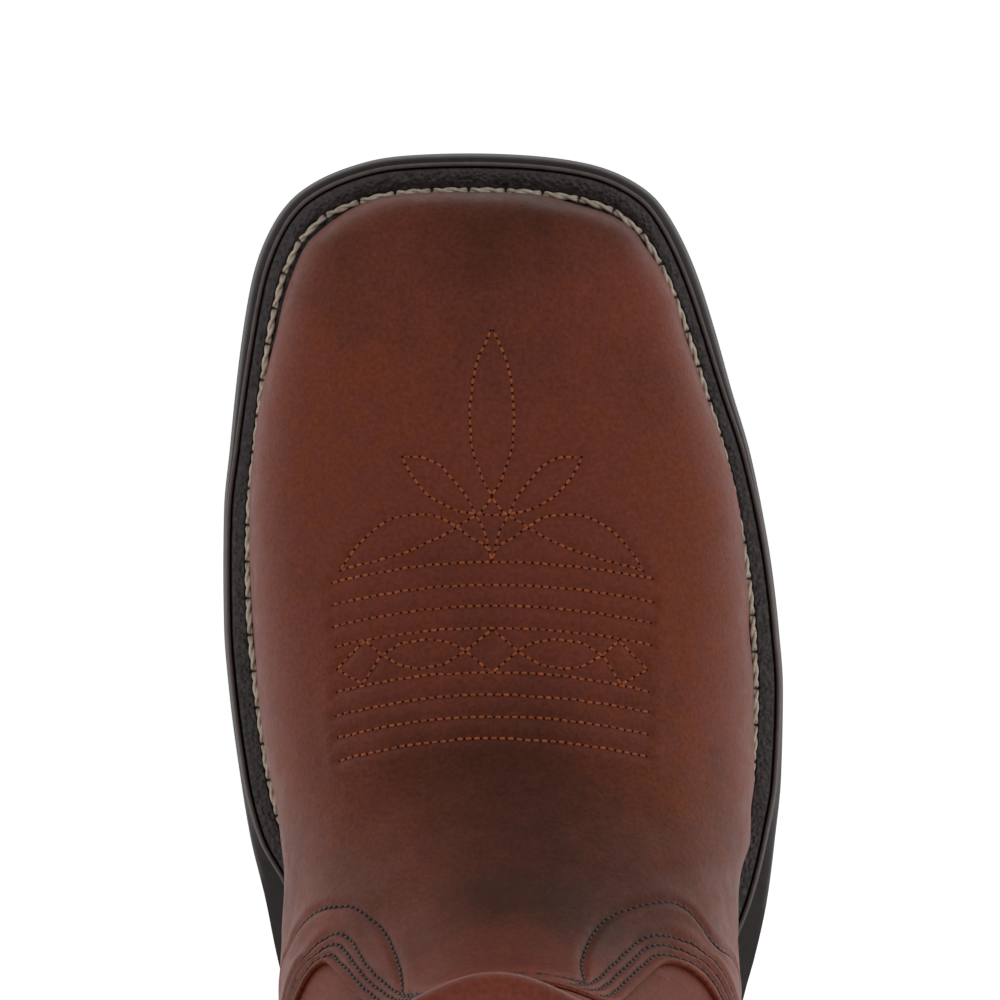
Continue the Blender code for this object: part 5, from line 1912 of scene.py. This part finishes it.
@dataclass
class Heel:
    """Block heel in lifts under the seat, and its grooved top lift."""

    sole: SoleForm
    breast: float = 0.752
    hollow: float = 3 * MM
    taper: float = 2.5 * MM
    chamfer: float = 1.2 * MM
    # Shares of the chamfer by which the block stands back under the outsole, and the top lift at the floor
    crown_share: float = 0.3
    foot_share: float = 0.5
    top_lift: float = 7.5 * MM
    steps: int = 90
    lifts: int = 3
    line: float = 0.2 * MM
    # Section of one lift: share of its height and share of the line between lifts
    lift: tuple[tuple[float, float], ...] = ((0.0, 1.0), (0.04, 0.0), (0.5, 0.0), (0.96, 0.0))
    grooves: tuple[float, ...] = (0.80, 0.86, 0.92)
    groove_width: float = 3 * MM
    groove_depth: float = 2.8 * MM

    def outline(self, distance: float) -> np.ndarray:
        """The heel's outline from its hollow breast to the back, moved inwards by a distance."""
        sole = self.sole
        breast = self.breast * sole.length
        turns = np.sin(np.linspace(0, np.pi / 2, self.steps))
        t = np.concatenate([[breast + self.hollow], breast + turns * (sole.length - breast)])
        return inset(ring_of_pairs(t, *sole.sides(t / sole.length)), distance)

    def height(self, t: np.ndarray, level: float) -> np.ndarray:
        """Height of a level of the block, 0 on the top lift and 1 under the outsole."""
        bottom = self.top_lift + self.sole.fit
        return bottom + (self.sole.underside(t) - self.sole.fit - bottom) * level

    def build(self) -> None:
        """Block and top lift."""
        sole = self.sole
        crown = self.chamfer * self.crown_share
        rings = []
        for k in range(self.lifts):
            for share, depth in self.lift:
                level = (k + share) / self.lifts
                distance = self.taper + (crown - self.taper) * level + depth * self.line
                rings.append(sole.placed(self.outline(distance), lambda t: self.height(t, level)))
        rings.append(sole.placed(self.outline(crown + self.line), lambda t: self.height(t, 1.0)))
        rings = closing(rings[0])[::-1] + rings + closing(rings[-1])
        rubber = RUBBER.material()
        dressed(loops_surface("heel_lifts", rings), Slot.RUBBER, [rubber], "heel_block")
        dressed(self.tread(), Slot.RUBBER, [rubber], "top_lift")

    def tread(self) -> bpy.types.Object:
        """The top lift: a plate and, between its grooves, pads that stand on the floor."""
        sole = self.sole
        mesh = bmesh.new()
        self.slab(mesh, self.groove_depth, self.top_lift, -1.0, 1.0)
        half = self.groove_width / 2
        cuts = [(share - 0.5) * sole.length for share in self.grooves]
        starts = [-1.0] + [y + half for y in cuts]
        ends = [y - half for y in cuts] + [1.0]
        for start, end in zip(starts, ends):
            self.slab(mesh, 0.0, self.groove_depth, start, end)
        return finished("grooved_top_lift", mesh)

    def slab(self, mesh: bmesh.types.BMesh, low: float, high: float, start: float, end: float) -> None:
        """Add a slice of the top lift between two heights and two places along the boot.

        Args:
            mesh: the mesh to add it to.
            low: its underside.
            high: its upper face.
            start: its front y.
            end: its back y.
        """
        rounding = self.chamfer * self.foot_share if low == 0.0 else 0.0
        outline = self.outline(self.taper)
        rings = [self.sole.placed(self.outline(self.taper + rounding), low), self.sole.placed(outline, high)]
        if rounding:
            rings.insert(1, self.sole.placed(outline, rounding))
        rings = closing(rings[0], (0.0,)) + rings + closing(rings[-1], (0.0,))
        piece = loops_surface("slab", rings)
        part = bmesh.new()
        part.from_mesh(piece.data)
        bpy.data.objects.remove(piece)
        for place, outwards in ((start, -1), (end, 1)):
            geometry = part.verts[:] + part.edges[:] + part.faces[:]
            cut = bmesh.ops.bisect_plane(
                part, geom=geometry, plane_co=(0, place, 0), plane_no=(0, outwards, 0), clear_outer=True
            )
            edges = [thing for thing in cut["geom_cut"] if isinstance(thing, bmesh.types.BMEdge)]
            if edges:
                bmesh.ops.holes_fill(part, edges=edges)
        data = bpy.data.meshes.new("slab")
        part.to_mesh(data)
        part.free()
        mesh.from_mesh(data)
        bpy.data.meshes.remove(data)


@dataclass(frozen=True)
class SweepPaper:
    """White paper under the boot: matt, faint fibres, bright enough to clip to white."""

    name: str = "white_sweep_paper"
    colour: str = "#f4f4f4"
    fibre_mm: float = 2
    relief_mm: float = 0.1
    roughness: float = 0.9
    glow: float = 0.74

    def material(self) -> bpy.types.Material:
        """The paper's nodes."""
        material, shader, place = started(self.name)
        tree = material.node_tree
        fibre = add_node(
            tree, "ShaderNodeTexNoise", {"Scale": per_metre(self.fibre_mm), "Detail": 3}, {"Vector": place}
        )
        bump = add_node(
            tree, "ShaderNodeBump", {"Strength": 0.1, "Distance": self.relief_mm * MM},
            {"Height": fibre.outputs["Fac"]},
        )
        tree.links.new(bump.outputs[0], shader.inputs["Normal"])
        shader.inputs["Base Color"].default_value = linear(self.colour)
        shader.inputs["Roughness"].default_value = self.roughness
        shader.inputs["Emission Color"].default_value = (1, 1, 1, 1)
        shader.inputs["Emission Strength"].default_value = self.glow
        return material


@dataclass
class Studio:
    """Plain pale floor, soft white light and the photograph's camera, straight above the forefoot."""

    eye: tuple[float, float, float] = (0.00105, -0.0805, 1.5)
    lens: float = 254.2
    sensor: float = 36
    floor_size: float = 3
    floor_gap: float = 0.1 * MM
    sky: float = 0.36
    # Where the softboxes point, and of each its place, its size and its power in watts
    aim: tuple[float, float, float] = (0, -0.05, 0.05)
    boxes: tuple[tuple[tuple[float, float, float], float, float], ...] = (
        ((0.9, -0.25, 0.85), 0.8, 1.8), ((-0.9, -0.25, 0.85), 0.8, 2.6), ((0.0, 0.45, 1.3), 0.4, 2.6),
    )

    def build(self) -> None:
        """Camera, floor, sky and lights."""
        scene = bpy.context.scene
        scene.view_settings.view_transform = "Standard"
        camera = bpy.data.cameras.new("camera")
        camera.lens = self.lens
        camera.sensor_width = self.sensor
        eye = linked("camera", camera)
        eye.location = self.eye
        eye.rotation_euler = (0, 0, math.pi)
        scene.camera = eye
        self.floor()
        world = bpy.data.worlds.new("soft_sky")
        world.use_nodes = True
        background = world.node_tree.nodes["Background"]
        background.inputs["Color"].default_value = (1, 1, 1, 1)
        background.inputs["Strength"].default_value = self.sky
        scene.world = world
        for place, size, power in self.boxes:
            light = bpy.data.lights.new("softbox", "AREA")
            light.size = size
            light.energy = power
            box = linked("softbox", light)
            box.location = place
            box.rotation_euler = (Vector(self.aim) - Vector(place)).to_track_quat("-Z", "Y").to_euler()

    def floor(self) -> None:
        """A wide sheet of paper just under the boot."""
        mesh = bmesh.new()
        bmesh.ops.create_grid(mesh, x_segments=2, y_segments=2, size=self.floor_size)
        floor = finished("floor", mesh)
        floor.location.z = -self.floor_gap
        floor.data.materials.append(SweepPaper().material())


def main() -> None:
    """Build the boot from the last outwards, then the studio."""
    low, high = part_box("outsole")
    sole = SoleForm(length=high.y - low.y, ball=high.x - low.x)
    last = Last(sole)
    leather = OiledLeather().material()
    Upper(last).build(leather)
    Vamp(last).build(leather)
    Counter(last).build(leather)
    for side in Side:
        SideSeam(last, side).build(leather)
    Binding(last).build(leather)
    Insole(last).build()
    Welt(last).build()
    Outsole(sole).build()
    Heel(sole).build()
    Studio().build()
    log.info("boot and studio built")


if __name__ == "__main__":
    main()
